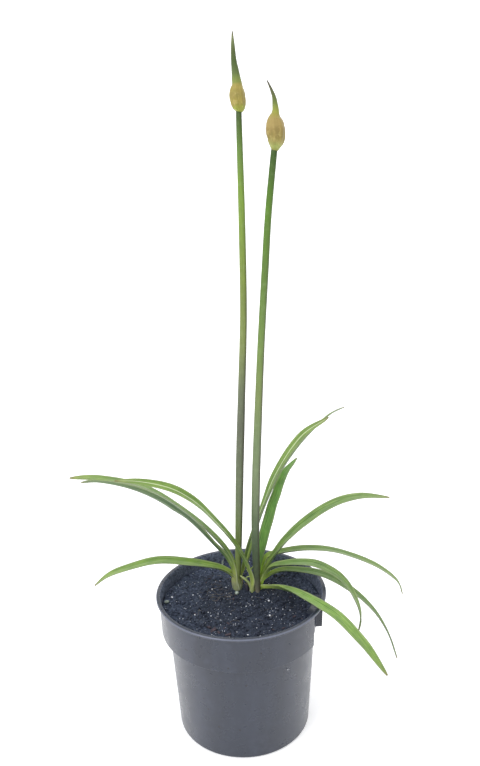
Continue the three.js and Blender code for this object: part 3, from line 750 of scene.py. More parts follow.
def draw_out(form, rings, sides, place, close=True):
    """Extrude a circle through rings; place(share, turn) says where each of its points goes.

    The turn is left behind as two marks, its cosine in across and its sine in under."""
    along, across, under = (form.verts.layers.float[mark] for mark in ("along", "across", "under"))
    row = bmesh.ops.create_circle(form, cap_ends=close, segments=sides, radius=1.0)["verts"]
    for vertex in row:
        vertex[across] = atan2(vertex.co.y, vertex.co.x)
    edges = list({edge for vertex in row for edge in vertex.link_edges})
    made = list(row)
    for ring in range(rings):
        if ring:
            drawn = bmesh.ops.extrude_edge_only(form, edges=edges)["geom"]
            row = [item for item in drawn if isinstance(item, bmesh.types.BMVert)]
            members = set(row)
            edges = [edge for edge in {edge for vertex in row for edge in vertex.link_edges}
                     if edge.verts[0] in members and edge.verts[1] in members]
            made += row
        share = ring / (rings - 1)
        for vertex in row:
            vertex[along] = share
            vertex.co = place(share, vertex[across])
    if close:
        bmesh.ops.edgeloop_fill(form, edges=edges)
    for vertex in made:
        turn = vertex[across]
        vertex[across], vertex[under] = cos(turn), sin(turn)
    return made


def level_row(table, mark):
    """The values at one mark, smoothly between the rows of a table; each row starts with its mark."""
    low = max(k for k in range(len(table) - 1) if k == 0 or table[k][0] <= mark)
    start, end = table[low], table[low + 1]
    span = end[0] - start[0]
    share = min(1.0, max(0.0, (mark - start[0]) / span))
    before, after = table[max(0, low - 1)], table[min(len(table) - 1, low + 2)]
    row = []
    for k in range(1, len(start)):
        leave = (end[k] - before[k]) / (end[0] - before[0]) * span
        arrive = (after[k] - start[k]) / (after[0] - start[0]) * span
        cube, square = share ** 3, share ** 2
        row.append(start[k] * (2 * cube - 3 * square + 1) + leave * (cube - 2 * square + share)
                   + end[k] * (3 * square - 2 * cube) + arrive * (cube - square))
    return row


def draw_strand(form, points, thick, sides=5, tips=0.35):
    """A thin root or thread through points, tapering a little at both ends."""
    course = Course(points, steps=8)
    rings = max(5, ceil(course.length / 1.2))

    def place(share, turn):
        centre, ahead = course.at(share)
        side = ahead.cross(Vector((0.2, 0.3, 1.0))).normalized()
        radius = thick / 2 * blend(tips, 1.0, min(1.0, 5 * min(share, 1 - share)))
        return (centre + side * radius * cos(turn) + ahead.cross(side) * radius * sin(turn)) * MM

    draw_out(form, rings, sides, place)


print("marks on every point:", MARKS)

# %% Roots and fibres on the peat
MATTED_ROOTS, LOOSE_ROOTS = 34, 60
root_form = marked_form()


def lay_root(x, y, length, thick, turn, bend):
    """A root that follows the bed, turning as it goes."""
    points = []
    for step in range(5):
        height = on_bed(x, y).z / MM + thick * 0.35 + (0.25 if step % 2 else 0.0)
        points.append((x, y, height))
        x, y = x + length / 4 * cos(turn), y + length / 4 * sin(turn)
        turn += bend / 4
    draw_strand(root_form, points, thick)


for _ in range(MATTED_ROOTS):
    x, y = free_spot(11, (-19, 13), keep_off=9)
    lay_root(x, y, chance.uniform(4, 8), chance.uniform(0.3, 0.5), chance.uniform(-1.2, 1.2), 0.9)
for _ in range(LOOSE_ROOTS):
    x, y = free_spot(50, keep_off=11)
    lay_root(x, y, chance.uniform(2.5, 6), chance.uniform(0.25, 0.45), chance.uniform(0, 2 * pi),
             chance.uniform(-1.5, 1.5))
bmesh.ops.recalc_face_normals(root_form, faces=root_form.faces)
# dried root: a dull grey brown, paler where the outer skin has come off
root = mottled_material("dry_root_fibre", 0.75, 1.45, 3, 2.0, [
    (0.35, "#3a3838"), (0.55, "#5c5a5c"), (0.7, "#858074")])
make_piece("root_fibres", root_form, root, sharp=80)

# %% [markdown]
# ## The strap leaves
# An agapanthus leaf is a long channelled strap with a blunt tip. It stands up out of its crown, then
# arches over, and its light margins are rolled upwards. Cards with a picture of a leaf look flat from
# the side. Here each blade is a fine grid, extruded once into a slab with an upper and a lower face,
# and its points are moved on to the leaf's own course: across the channel, along the arch.

# %% Where each leaf goes
# foot is where the leaf's upright plane starts, facing is the way it goes, in degrees from +X, and
# path lists how far out and how high it is. neck is how far from its foot it leaves the crown. clasp
# and width are its widths in mm at the foot and at its broadest, opens says between which shares of
# its length it widens, and tip is the share where the tip starts to round off. roll turns the blade
# about its length, in degrees, evenly spaced from its foot to its tip. tone is 0 for a dull grey
# green, 1 for a vivid yellow green and 2 for a lush deep green; tip_tone is the same for its far end.
# crease says how pale the midrib line is, its own pale colour and, where high, a painted highlight
# along it; wrap how far round the neck its foot clasps, in radians to either side.
LEAVES = {
    "left_upper": dict(
        foot=(-4.8, 19.5), facing=178, clasp=5.3, width=10.8, neck=23, tip=0.71,
        roll=(0, 7, 14, 8, -26), tone=0.35, tip_tone=0.9,
        path=((0, 103), (0, 113), (2, 124), (8, 135.5), (34, 164), (66, 186.4), (100, 194.8),
              (124.5, 195.9))),
    "left_middle": dict(
        foot=(-5, 21.8), facing=167, clasp=5.3, width=11, neck=24, tip=0.9,
        roll=(0, 63, 29), tone=0.0, tip_tone=0.6,
        path=((0, 102), (0, 110), (5.5, 124), (14, 133.6), (42, 160.6), (75, 176.8), (109, 182.5),
              (125, 181))),
    "left_low": dict(
        foot=(-5.2, 19.2), facing=183, clasp=5.9, width=10.8, neck=13, tip=0.8,
        roll=(0, -6, 0), tone=0.85,
        path=((0, 102), (1, 110), (8, 116), (19, 120), (57, 126.9), (85, 121.6), (100, 116),
              (110, 108.9))),
    "left_back": dict(
        foot=(-2.6, 20.6), facing=30, clasp=4.2, width=8.5, neck=14, tip=0.79,
        roll=(-42, -8, 22), tone=0.8, opens=(0.25, 0.6), crease=1.0,
        path=((0, 102), (3.5, 111), (12, 137), (25.5, 165.2), (42, 193.6), (65, 215.8),
              (89.5, 225.2))),
    "left_back_tall": dict(
        foot=(-2.6, 22), facing=45, clasp=4.2, width=7.8, neck=14, tip=0.9,
        roll=(-15, -46, -29), tone=0.6, opens=(0.25, 0.6),
        path=((0, 102), (5, 109), (11.5, 118), (29, 152.2), (52, 180.2), (75, 196.9), (101, 208.9),
              (121, 215), (139, 216.2))),
    "right_crossing": dict(
        foot=(8.6, 13.8), facing=194, clasp=5.6, width=9.4, neck=12, tip=0.4,
        roll=(0, -16, -60), tone=0.85, crease=0.9,
        path=((0, 101), (0.5, 112), (3, 121), (12, 141.2), (31, 168.8), (46, 185.2), (62, 196.4),
              (82, 203.4), (100, 206.8))),
    "right_inner": dict(
        foot=(13, 20), facing=46, clasp=5.3, width=10.1, neck=15, tip=0.79,
        roll=(0, 0, -15), tone=1.6, crease=0.05,
        path=((0, 101), (3, 118), (13.5, 149), (25, 170.1), (36, 185.4), (50.5, 194.2))),
    "right_upper": dict(
        foot=(15, 18.4), facing=5, clasp=5.6, width=12, neck=14, tip=0.73,
        roll=(-10, 6, 2), tone=0.45, crease=0.1,
        path=((0, 101), (1.5, 109), (8, 121), (20, 137.6), (33, 150.7), (58, 167), (79, 172.3),
              (103.5, 170.4))),
    "right_back": dict(
        foot=(14.2, 23.5), facing=24, clasp=4.8, width=9.7, neck=13, tip=0.74,
        roll=(0, 6, 24), tone=0.3, tip_tone=0.8,
        path=((0, 101), (3, 110), (8, 122), (15, 123.1), (40, 120.8), (68, 113), (104, 93.1),
              (121, 80.4), (137, 64.4), (142, 52))),
    "right_drooping": dict(
        foot=(16, 14.2), facing=-24, clasp=4.8, width=10, neck=12, tip=0.72,
        roll=(0, 3, -18), tone=0.0, tip_tone=0.7,
        path=((0, 101), (2, 110.5), (8, 121), (15, 125), (42, 131.5), (58, 127.4), (68, 120.4),
              (77, 105.8), (80, 95), (79, 82.8))),
    "right_front": dict(
        foot=(16.2, 17.8), facing=-12, clasp=4.9, width=8.8, neck=13, tip=0.39,
        roll=(0, 6, -20), tone=0.1, tip_tone=0.3,
        path=((0, 101), (1, 105.5), (4, 110), (13, 115.6), (22.5, 117.5), (49, 115.5), (72, 103.4),
              (88, 88.3), (99, 70.8), (107, 48.2))),
    "right_low": dict(
        foot=(16.4, 15.4), facing=-48, clasp=5.9, width=11.1, neck=9, tip=0.74,
        roll=(-24, -5, -14), tone=1.1, wrap=0.85, crease=0.05,
        path=((-0.5, 101), (5, 104), (12, 107), (24, 110.7), (48, 113.2), (77, 110.8), (98, 101.8),
              (122, 86.2))),
}
for leaf in LEAVES.values():
    turn = radians(leaf["facing"])
    leaf["side"] = Vector((-sin(turn), cos(turn), 0))
    leaf["course"] = Course([(leaf["foot"][0] + reach * cos(turn), leaf["foot"][1] + reach * sin(turn),
                              height) for reach, height in leaf["path"]])
print("leaf lengths, mm:", {name: round(leaf["course"].length) for name, leaf in LEAVES.items()})

# %% The section of a leaf
BLADE_EDGE, BLADE_RIB = 0.65, 1.35  # how thick a blade is, in mm
BLADE_COLUMNS = 22
ROW_LENGTH = 1.7
FOOT_CHANNEL, FAR_CHANNEL = 0.75, 0.27  # how deep it is folded, as a share of its half width
PLEAT, SWAY = 0.07, 0.5
PLAIN_CREASE = 0.15


def breadth(leaf, share):
    """How wide a leaf is, in mm: clasping at its foot, then broad, then tapering to a blunt tip."""
    opening = blend(leaf["clasp"], leaf["width"], ease(share, *leaf.get("opens", (0.04, 0.4))))
    taper = max(0.0, (share - 0.5) / 0.5)
    point = max(0.0, (share - leaf["tip"]) / (1 - leaf["tip"]))
    return opening * max(0.12, (1 - 0.25 * taper ** 2) * sqrt(max(0.0, 1 - point ** 2)))


def roll_at(rolls, share):
    """The roll at one share of the length, in radians."""
    spans = len(rolls) - 1
    span = min(int(share * spans), spans - 1)
    return radians(blend(rolls[span], rolls[span + 1], share * spans - span))


def blade_frame(leaf, walked):
    """The blade so far from its foot: its middle, its sideways and upward directions, its sizes."""
    share = min(1.0, max(0.0, walked / leaf["course"].length))
    centre, ahead = leaf["course"].at(share)
    side = Matrix.Rotation(roll_at(leaf["roll"], share), 3, ahead) @ leaf["side"]
    up = ahead.cross(side)
    half = breadth(leaf, share) / 2
    channel = half * blend(FOOT_CHANNEL, FAR_CHANNEL, ease(share, 0, 0.45))
    rib = blend(BLADE_RIB, BLADE_EDGE + 0.1, share)
    # a living blade is never ruled: it sways up to half a millimetre to either side
    sway = noise.noise(Vector((leaf["facing"], share * 9, leaf["width"]))) * SWAY * ease(share, 0.1, 0.3)
    return centre + side * sway + ahead * min(0.0, walked), side, up, half, channel, rib


def draw_blade(form, leaf, start, end=None, hold=None):
    """Lay a slab of grid cells along a leaf, between two distances from its foot in mm."""
    layers = {mark: form.verts.layers.float[mark] for mark in MARKS}
    length = leaf["course"].length
    stop = length if end is None else end
    rows = ceil((stop - start) / ROW_LENGTH)
    frames = [blade_frame(leaf, blend(start, stop, row / rows)) for row in range(rows + 1)]
    upper = bmesh.ops.create_grid(form, x_segments=BLADE_COLUMNS, y_segments=rows, size=1.0)["verts"]
    sheet = list({face for vertex in upper for face in vertex.link_faces})
    lower = [item for item in bmesh.ops.extrude_face_region(form, geom=sheet, use_keep_orig=True)["geom"]
             if isinstance(item, bmesh.types.BMVert)]
    for vertices, below in ((upper, 0.0), (lower, 1.0)):
        for vertex in vertices:
            across = sin(vertex.co.x * pi / 2)
            row = round((vertex.co.y + 1) / 2 * rows)
            centre, side, up, half, channel, rib = frames[row]
            walked = blend(start, stop, row / rows)
            thick = blend(rib, BLADE_EDGE, abs(across)) * sqrt(max(0.06, 1 - across ** 8))
            pleat = PLEAT * cos(across * 9) * (1 - across ** 2)
            depth = blend(0.0, thick, below) + 0.35 * (BLADE_EDGE - thick) * abs(across) ** 8
            # a channel with a crease along the midrib
            gutter = channel * (0.6 * sqrt(across ** 2 + 0.01) + 0.4 * across ** 2)
            point = centre + side * across * half + up * (gutter - depth + pleat)
            if hold:
                point = hold(point, walked, across, thick, below)
            vertex.co = point * MM
            vertex[layers["along"]] = max(0.0, walked / length)
            vertex[layers["across"]] = across
            vertex[layers["under"]] = below
            vertex[layers["tone"]] = blend(leaf["tone"], leaf.get("tip_tone", leaf["tone"]),
                                           walked / length)
            vertex[layers["crease"]] = leaf.get("crease", PLAIN_CREASE)


print("blade columns:", BLADE_COLUMNS, "rows of", ROW_LENGTH, "mm")

# %% [markdown]
# ### Finish of the leaves
# The blade is living tissue under a thin wax skin: semi-gloss, with fine parallel veins, a paler
# margin, a lighter foot, blanched where no light reaches and painted lighter still with painted
# light against the crowns' shade, a duller underside, darkened further with painted shade, and a pale
# midrib that carries a painted highlight. All of that follows the leaf, so the material reads the
# marks that the blades carry. Cloudy noise on top keeps two leaves from ever being the same green.

# %% Leaf material
VEINS = 9


def leaf_material(name, roughness):
    """Green tissue under wax, painted from the marks along, across, under, tone and crease."""
    material, tree, shader = new_material(name, roughness=roughness, ior=1.42, Coat_Weight=0.08,
                                          Coat_Roughness=0.3, Specular_IOR_Level=0.35)
    mark = {label: add(tree, "ShaderNodeAttribute", attribute_name=label).outputs["Fac"] for label in MARKS}
    spot = add(tree, "ShaderNodeTexCoord").outputs["Object"]

    def over(amount, lower, hex_colour):
        """Lay a colour over what is there."""
        return add(tree, "ShaderNodeMix", {0: amount, 6: lower, 7: linear(hex_colour)},
                   data_type="RGBA").outputs[2]

    # the feet of both ramps are pale: partly the blanched foot of a real leaf, partly painted light that
    # makes up for the shade deep in the crowns
    dull = add(tree, "ShaderNodeValToRGB", {"Fac": mark["along"]}, stops=[
        (0.0, "#a9ab86"), (0.04, "#b5b870"), (0.08, "#9fad57"), (0.16, "#76904a"), (0.3, "#5b7b42"),
        (0.5, "#50703d"), (0.9, "#627c46"), (1.0, "#858f5a")])
    vivid = add(tree, "ShaderNodeValToRGB", {"Fac": mark["along"]}, stops=[
        (0.0, "#afb28a"), (0.04, "#b5ba70"), (0.08, "#a5b352"), (0.16, "#88a73e"), (0.5, "#7ca23c"),
        (0.9, "#8aa84a"), (1.0, "#9ca45a")])
    green = add(tree, "ShaderNodeMix", {0: mark["tone"], 6: dull.outputs[0], 7: vivid.outputs[0]},
                data_type="RGBA").outputs[2]
    lush = add(tree, "ShaderNodeMapRange", {0: mark["tone"], 1: 1.0, 2: 2.0, 3: 0.0, 4: 1.0})
    green = over(lush.outputs[0], green, "#70b851")
    # cloudy change of green every 7 mm or so
    cloud = add(tree, "ShaderNodeTexNoise", {"Vector": spot, "Scale": 1 / (7 * MM), "Detail": 3.0})
    cloudy = add(tree, "ShaderNodeMapRange", {0: cloud.outputs[0], 1: 0.35, 2: 0.7, 3: 0.0, 4: 0.45})
    green = over(cloudy.outputs[0], green, "#46693a")
    # long streaks, lighter and darker, that follow the blade
    ripple = add(tree, "ShaderNodeMath", {0: mark["across"], 1: VEINS * pi}, operation="MULTIPLY")
    streak_place = add(tree, "ShaderNodeCombineXYZ", {0: ripple.outputs[0], 1: mark["along"]})
    streak_map = add(tree, "ShaderNodeMapping", {"Vector": streak_place.outputs[0],
                                                 "Scale": (0.22, 7.0, 1.0)})
    streak = add(tree, "ShaderNodeTexNoise", {"Vector": streak_map.outputs[0], "Scale": 1.0,
                                              "Detail": 4.0})
    pale = add(tree, "ShaderNodeMapRange", {0: streak.outputs[0], 1: 0.5, 2: 0.72, 3: 0.0, 4: 0.7})
    green = over(pale.outputs[0], green, "#a2b96c")
    dark = add(tree, "ShaderNodeMapRange", {0: streak.outputs[0], 1: 0.48, 2: 0.3, 3: 0.0, 4: 0.65})
    green = over(dark.outputs[0], green, "#3b5a35")
    # the feet of the right-hand shoot's leaves are paler: partly their own pale colour, partly painted
    #     # light that makes up for the shade the right stalk casts on them
    place = add(tree, "ShaderNodeSeparateXYZ", {0: spot})
    right_side = add(tree, "ShaderNodeMapRange", {0: place.outputs[0], 1: 6 * MM, 2: 13.5 * MM,
                                                  3: 0.0, 4: 0.9})
    low_down = add(tree, "ShaderNodeMapRange", {0: mark["along"], 1: 0.05, 2: 0.2, 3: 1.0, 4: 0.0})
    right_feet_painted_light = add(tree, "ShaderNodeMath", {0: right_side.outputs[0], 1: low_down.outputs[0]},
                operation="MULTIPLY")
    green = over(right_feet_painted_light.outputs[0], green, "#c4e068")
    # veins: real ones lie 0.5 mm apart, these 1 mm, so that they show
    wave = add(tree, "ShaderNodeMath", {0: ripple.outputs[0]}, operation="SINE")
    veins = add(tree, "ShaderNodeMath", {0: wave.outputs[0], 1: streak.outputs[0]}, operation="MULTIPLY")
    vein_share = add(tree, "ShaderNodeMapRange", {0: veins.outputs[0], 1: 0.0, 2: 0.8, 3: 0.0, 4: 0.35})
    green = over(vein_share.outputs[0], green, "#9db480")
    # the underside has no palisade cells, so it is a greyer green, and it is painted darker still,
    #     # painted shade as if it lay in its own shadow (except in young vivid leaves and in the sheaths)
    free = add(tree, "ShaderNodeMapRange", {0: mark["along"], 1: 0.05, 2: 0.2, 3: 0.0, 4: 1.0})
    underside_grey_and_shade = add(tree, "ShaderNodeMath", {0: mark["tone"], 1: -0.5, 2: 0.85}, operation="MULTIPLY_ADD")
    below = add(tree, "ShaderNodeMath", {0: mark["under"], 1: free.outputs[0]}, operation="MULTIPLY")
    below = add(tree, "ShaderNodeMath", {0: below.outputs[0], 1: underside_grey_and_shade.outputs[0]}, operation="MULTIPLY")
    green = over(below.outputs[0], green, "#435a43")
    # the midrib is a pale line, where the crease mark is high a painted highlight along it, and the
    #     # margin is pale too, between a dull shade and a purple brown edge
    out = add(tree, "ShaderNodeMath", {0: mark["across"]}, operation="ABSOLUTE")
    rib = add(tree, "ShaderNodeMapRange", {0: out.outputs[0], 1: 0.04, 2: 0.13, 3: 1.0, 4: 0.0})
    rib = add(tree, "ShaderNodeMath", {0: rib.outputs[0], 1: mark["crease"]}, operation="MULTIPLY")
    green = over(rib.outputs[0], green, "#d6e2b6")
    # (on the sheaths, where the foot wraps round, the margin is thin and pale throughout)
    for start, stop, most, where, hex_colour in (
            (0.5, 1.0, 0.35, free, "#5b6840"), (0.72, 0.85, 0.35, free, "#aebf80"),
            (0.9, 0.98, 0.45, free, "#4c5038"), (0.8, 0.92, 0.55, low_down, "#c9d5a4")):
        edge = add(tree, "ShaderNodeMapRange", {0: out.outputs[0], 1: start, 2: stop, 3: 0.0, 4: most})
        edge = add(tree, "ShaderNodeMath", {0: edge.outputs[0], 1: where.outputs[0]}, operation="MULTIPLY")
        green = over(edge.outputs[0], green, hex_colour)
    tip = add(tree, "ShaderNodeMapRange", {0: mark["along"], 1: 0.97, 2: 1.0, 3: 0.0, 4: 0.7})
    green = over(tip.outputs[0], green, "#8a7a52")
    tree.links.new(green, shader.inputs["Base Color"])
    sheen = add(tree, "ShaderNodeMapRange", {0: streak.outputs[0], 1: 0.3, 2: 0.7,
                                             3: roughness - 0.06, 4: roughness + 0.1})
    tree.links.new(sheen.outputs[0], shader.inputs["Roughness"])
    relief = add(tree, "ShaderNodeBump", {"Height": veins.outputs[0], "Strength": 0.45,
                                          "Distance": 0.2 * MM})
    tree.links.new(relief.outputs[0], shader.inputs["Normal"])
    return material


# wax gives the blades a soft gloss; a sheath has hardly any wax and is duller
waxy_leaf = leaf_material("waxy_leaf_blade", 0.42)
pale_sheath = leaf_material("fleshy_leaf_sheath", 0.5)
# the sheaths are thick and juicy: light that enters them comes out up to 2 mm further on
flesh = next(node for node in pale_sheath.node_tree.nodes if node.type == "BSDF_PRINCIPLED")
flesh.inputs["Subsurface Weight"].default_value = 0.4
flesh.inputs["Subsurface Radius"].default_value = (0.8, 1.0, 0.3)
flesh.inputs["Subsurface Scale"].default_value = 2 * MM
print("leaf materials:", len(waxy_leaf.node_tree.nodes), "nodes each")

# %% Make the twelve blades
NECK_GAP = 0.2
for name, leaf in LEAVES.items():
    blade_form = marked_form()
    draw_blade(blade_form, leaf, leaf["neck"] + NECK_GAP)
    bmesh.ops.recalc_face_normals(blade_form, faces=blade_form.faces)
    make_piece("blade_" + name, blade_form, waxy_leaf, ["leaf_" + name], sharp=70)

# %% [markdown]
# ## The crowns
# At the foot, the leaves' bases wrap round each other into a short fleshy neck, oval in section. The
# neck could be one lump, but then the wraps would only be painted, and the leaves would stand in it
# as in a cup. So every leaf's foot is a blade of its own that starts as a sheath round the neck, one
# over the other, and lets go of it as it climbs.

# %% Necks
# each row: the height, the middle's x and y, and the half widths along x and y, in mm
NECKS = {
    "left": (
        ((84, -3.2, 19.4, 2.4, 2.6), (97, -2.6, 19.3, 2.3, 2.5), (100.5, -2.5, 19.2, 2.5, 2.7),
         (104, -2.9, 19.3, 3.0, 3.2), (108, -3.2, 19.4, 3.2, 3.4), (112, -3.2, 19.5, 2.6, 2.8),
         (115, -3.0, 19.6, 1.3, 1.4)),
    ),
    "right": (
        ((84, 13.0, 18.6, 2.4, 2.6), (97, 12.9, 18.2, 1.8, 2.0), (101, 12.9, 18.2, 1.9, 2.1),
         (104, 13.1, 18.5, 2.6, 2.8), (107, 13.3, 18.9, 2.4, 2.6), (109.5, 13.6, 19.1, 1.2, 1.3)),
        ((84, 9.1, 14.5, 1.7, 1.9), (97, 9.1, 14.4, 1.5, 1.7), (101, 9.1, 14.3, 1.6, 1.8),
         (105, 8.9, 14.4, 1.5, 1.7), (109, 8.6, 14.4, 0.9, 1.0)),
        ((84, 13.8, 17.5, 2.3, 3.2), (97, 13.8, 17.5, 2.3, 3.2), (101, 13.9, 17.4, 2.4, 3.3),
         (104, 14.1, 17.3, 2.7, 3.6), (107, 14.3, 17.2, 2.8, 3.8)),
    ),
}
CORES = 2  # the third oval takes in the leaves inside the lowest one: it is clasped, but not made
# from the innermost leaf to the outermost one, and which neck it clasps
WRAPS = {
    "left": (("left_back_tall", 0), ("left_back", 0), ("left_middle", 0), ("left_upper", 0),
             ("left_low", 0)),
    "right": (("right_crossing", 1), ("right_inner", 0), ("right_back", 0), ("right_upper", 0),
              ("right_drooping", 0), ("right_front", 0), ("right_low", 2)),
}
SHEATH_START = -5.5
SHEATH_WRAP, WRAP_PER_LAYER = 1.5, 0.11
SHEATH_GAP, GAP_PER_LAYER = 0.1, 0.28
NECK_RINGS, NECK_SIDES = 34, 64


def neck_point(column, height, turn):
    """A point on a neck, an oval with faint ribs."""
    x, y, half_x, half_y = level_row(column, height)
    ribs = 0.06 * cos(turn * 14)
    return Vector((x + (half_x + ribs) * cos(turn), y + (half_y + ribs) * sin(turn), height)) * MM


def clasping(leaf, column, layer):
    """Wraps a leaf's foot round its neck, over the leaves inside it; higher up it lets go."""
    shoulder = max(column, key=lambda row: row[3])[0]
    _, middle_x, middle_y, _, _ = column[2]
    away = leaf["course"].at(0.12)[0] - Vector((middle_x, middle_y, 0))
    middle = atan2(away.y, away.x)
    half_wrap = leaf.get("wrap", SHEATH_WRAP) + WRAP_PER_LAYER * layer

    def hold(point, walked, across, thick, below):
        grip = 1 - ease(walked, -1.0, 0.8 * leaf["neck"])
        if grip <= 0:
            return point
        x, y, half_x, half_y = level_row(column, min(point.z, shoulder))
        turn = middle + across * half_wrap
        out = SHEATH_GAP + GAP_PER_LAYER * layer + 0.5 * below * thick
        return point.lerp(
            Vector((x + (half_x + out) * cos(turn), y + (half_y + out) * sin(turn), point.z)), grip)

    return hold


for shoot, columns in NECKS.items():
    crown_form = marked_form()
    along, across, under, tone = (crown_form.verts.layers.float[mark] for mark in MARKS[:4])
    for column in columns[:CORES]:
        bottom, top = column[0][0], column[-1][0]
        made = draw_out(crown_form, NECK_RINGS, NECK_SIDES,
                        lambda share, turn: neck_point(column, blend(bottom, top, share), turn))
        # the necks wear the colours of a leaf's foot
        for vertex in made:
            turn = atan2(vertex[under], vertex[across])
            vertex[along], vertex[tone] = 0.05 * vertex[along], 0.4
            vertex[across], vertex[under] = 0.8 * sin(turn * 3), 0.0
    wraps_so_far = [0, 0, 0]
    for name, which in WRAPS[shoot]:
        leaf = LEAVES[name]
        draw_blade(crown_form, leaf, SHEATH_START, leaf["neck"] + NECK_GAP,
                   clasping(leaf, columns[which], wraps_so_far[which]))
        wraps_so_far[which] += 1
    bmesh.ops.recalc_face_normals(crown_form, faces=crown_form.faces)
    make_piece("sheaths_" + shoot, crown_form, pale_sheath, ["crown_" + shoot], sharp=50)

# %% Torn sheaths between the shoots
# Three old sheaths have dried to pale strips: one spans the two crowns, one curls, one sticks up.
STRIP_SIDES = 9
torn_form = marked_form()
for thick, points in (
        (2.1, ((-0.6, 15.6, 112.6), (1.6, 15.2, 111), (4.6, 15, 108.4), (6.5, 14.8, 105.4),
               (7.6, 14.6, 101))),
        (0.9, ((4.4, 17.6, 117.4), (5.6, 17.4, 115.4), (7.2, 17.6, 113), (7, 17.8, 110.6),
               (4.6, 17.8, 109.8), (3.8, 17.8, 106))),
        (1.3, ((6.4, 13.8, 115.4), (7.4, 14.4, 117.2), (8.6, 14.8, 118.9), (9.8, 15, 120.6)))):
    draw_strand(torn_form, points, thick, sides=STRIP_SIDES)
along, _, under, tone, _ = (torn_form.verts.layers.float[mark] for mark in MARKS)
for vertex in torn_form.verts:
    vertex[along], vertex[under], vertex[tone] = 0.05, 0.0, 1.0
bmesh.ops.recalc_face_normals(torn_form, faces=torn_form.faces)
make_piece("torn_sheaths", torn_form, pale_sheath, sharp=70)

# %% Dead sheaths
# a dark purplish stump between the shoots, and the dry brown edge of the left shoot's outer sheath
dead_form = marked_form()
for thick, points in (
        (3.2, ((4.6, 16.0, 96), (4.7, 16.2, 100), (4.4, 16.6, 103), (4.0, 17.2, 105))),
        (2.4, ((6.0, 17.0, 96), (6.0, 17.0, 100), (6.4, 17.2, 102.4))),
        (0.8, ((0.7, 15.4, 112), (1.2, 15.2, 109), (1.3, 15.2, 106.5), (1.1, 15.5, 104)))):
    draw_strand(dead_form, points, thick, sides=STRIP_SIDES)
bmesh.ops.recalc_face_normals(dead_form, faces=dead_form.faces)
dead_sheath, tree, shader = new_material("rotted_leaf_sheath", roughness=0.7, ior=1.45)
spot = add(tree, "ShaderNodeTexCoord").outputs["Object"]
height = add(tree, "ShaderNodeSeparateXYZ", {0: spot}).outputs[2]
mottle = add(tree, "ShaderNodeTexNoise", {"Vector": spot, "Scale": 1 / (1.2 * MM), "Detail": 4.0})
# dark and purplish low down near the peat, and brown higher up, where it has dried
dry = add(tree, "ShaderNodeMapRange", {0: height, 1: 103.5 * MM, 2: 107 * MM, 3: 0.0, 4: 1.0})
low_dark_tone, dry_tone = (
    add(tree, "ShaderNodeValToRGB", {"Fac": mottle.outputs[0]}, stops=stops).outputs[0]
    for stops in ([(0.3, "#22222f"), (0.7, "#44424f")], [(0.3, "#5b5436"), (0.7, "#857b50")]))
rotted = add(tree, "ShaderNodeMix", {0: dry.outputs[0], 6: low_dark_tone, 7: dry_tone}, data_type="RGBA")
tree.links.new(rotted.outputs[2], shader.inputs["Base Color"])
make_piece("dead_sheaths", dead_form, dead_sheath, sharp=70)

# %% [markdown]
# ## The flower stalks
# A scape is a smooth, solid, slightly oval stem, 4 to 5 mm thick, without a single leaf on it. It is
# grey and purplish low down, bright green in the middle, and darkest just under the bud. A curve
# object could carry it, but a drawn-out circle takes its growing thickness point by point.

# %% Where the stalks go
# each station: x, height and radius, in mm; a stalk stays at one depth, its y
SCAPES = {
    "left": dict(y=18.7, stations=(
        (-2.9, 101, 2.2), (-2.1, 115, 2.3), (-1.1, 136, 2.6), (1.9, 205, 3.05), (4.9, 262, 2.8),
        (7.8, 320, 2.5), (8.5, 386, 2.35), (8.4, 455.8, 1.95), (8.5, 457.4, 1.9))),
    "right": dict(y=13.2, stations=(
        (13.3, 86, 1.9), (13.1, 100, 1.9), (12.8, 107, 2.5), (12.3, 147, 2.95), (13.5, 187, 3.15),
        (16.6, 246, 2.9), (19.9, 300, 2.6), (23.5, 349, 2.5), (26.6, 389, 2.35), (31.3, 430.8, 2.15),
        (31.5, 432.4, 2.0))),
}
STALK_RINGS, STALK_SIDES = 210, 36
print("stalk tops, mm:", {shoot: scape["stations"][-1][1] for shoot, scape in SCAPES.items()})

# %% Colours by height
# a height in mm and the green there: greyed purple low down, brightest two thirds of the way up
SCAPE_COLOURS = {
    "left": ((115, "#82924e"), (140, "#77894c"), (175, "#6d785a"), (235, "#606454"), (262, "#697158"),
             (300, "#7e8b4d"), (345, "#798b3e"), (400, "#7b9a39"), (432, "#65843b"), (455, "#3a531c")),
    "right": ((100, "#8d8676"), (106, "#6f6f5e"), (114, "#556049"), (140, "#506148"), (165, "#627254"),
              (190, "#798764"), (225, "#75875e"), (260, "#798950"), (300, "#6f8a44"), (355, "#5b7a30"),
              (392, "#587f26"), (430, "#35521a")),
}
RAMP_BOTTOM, RAMP_TOP = 80, 480


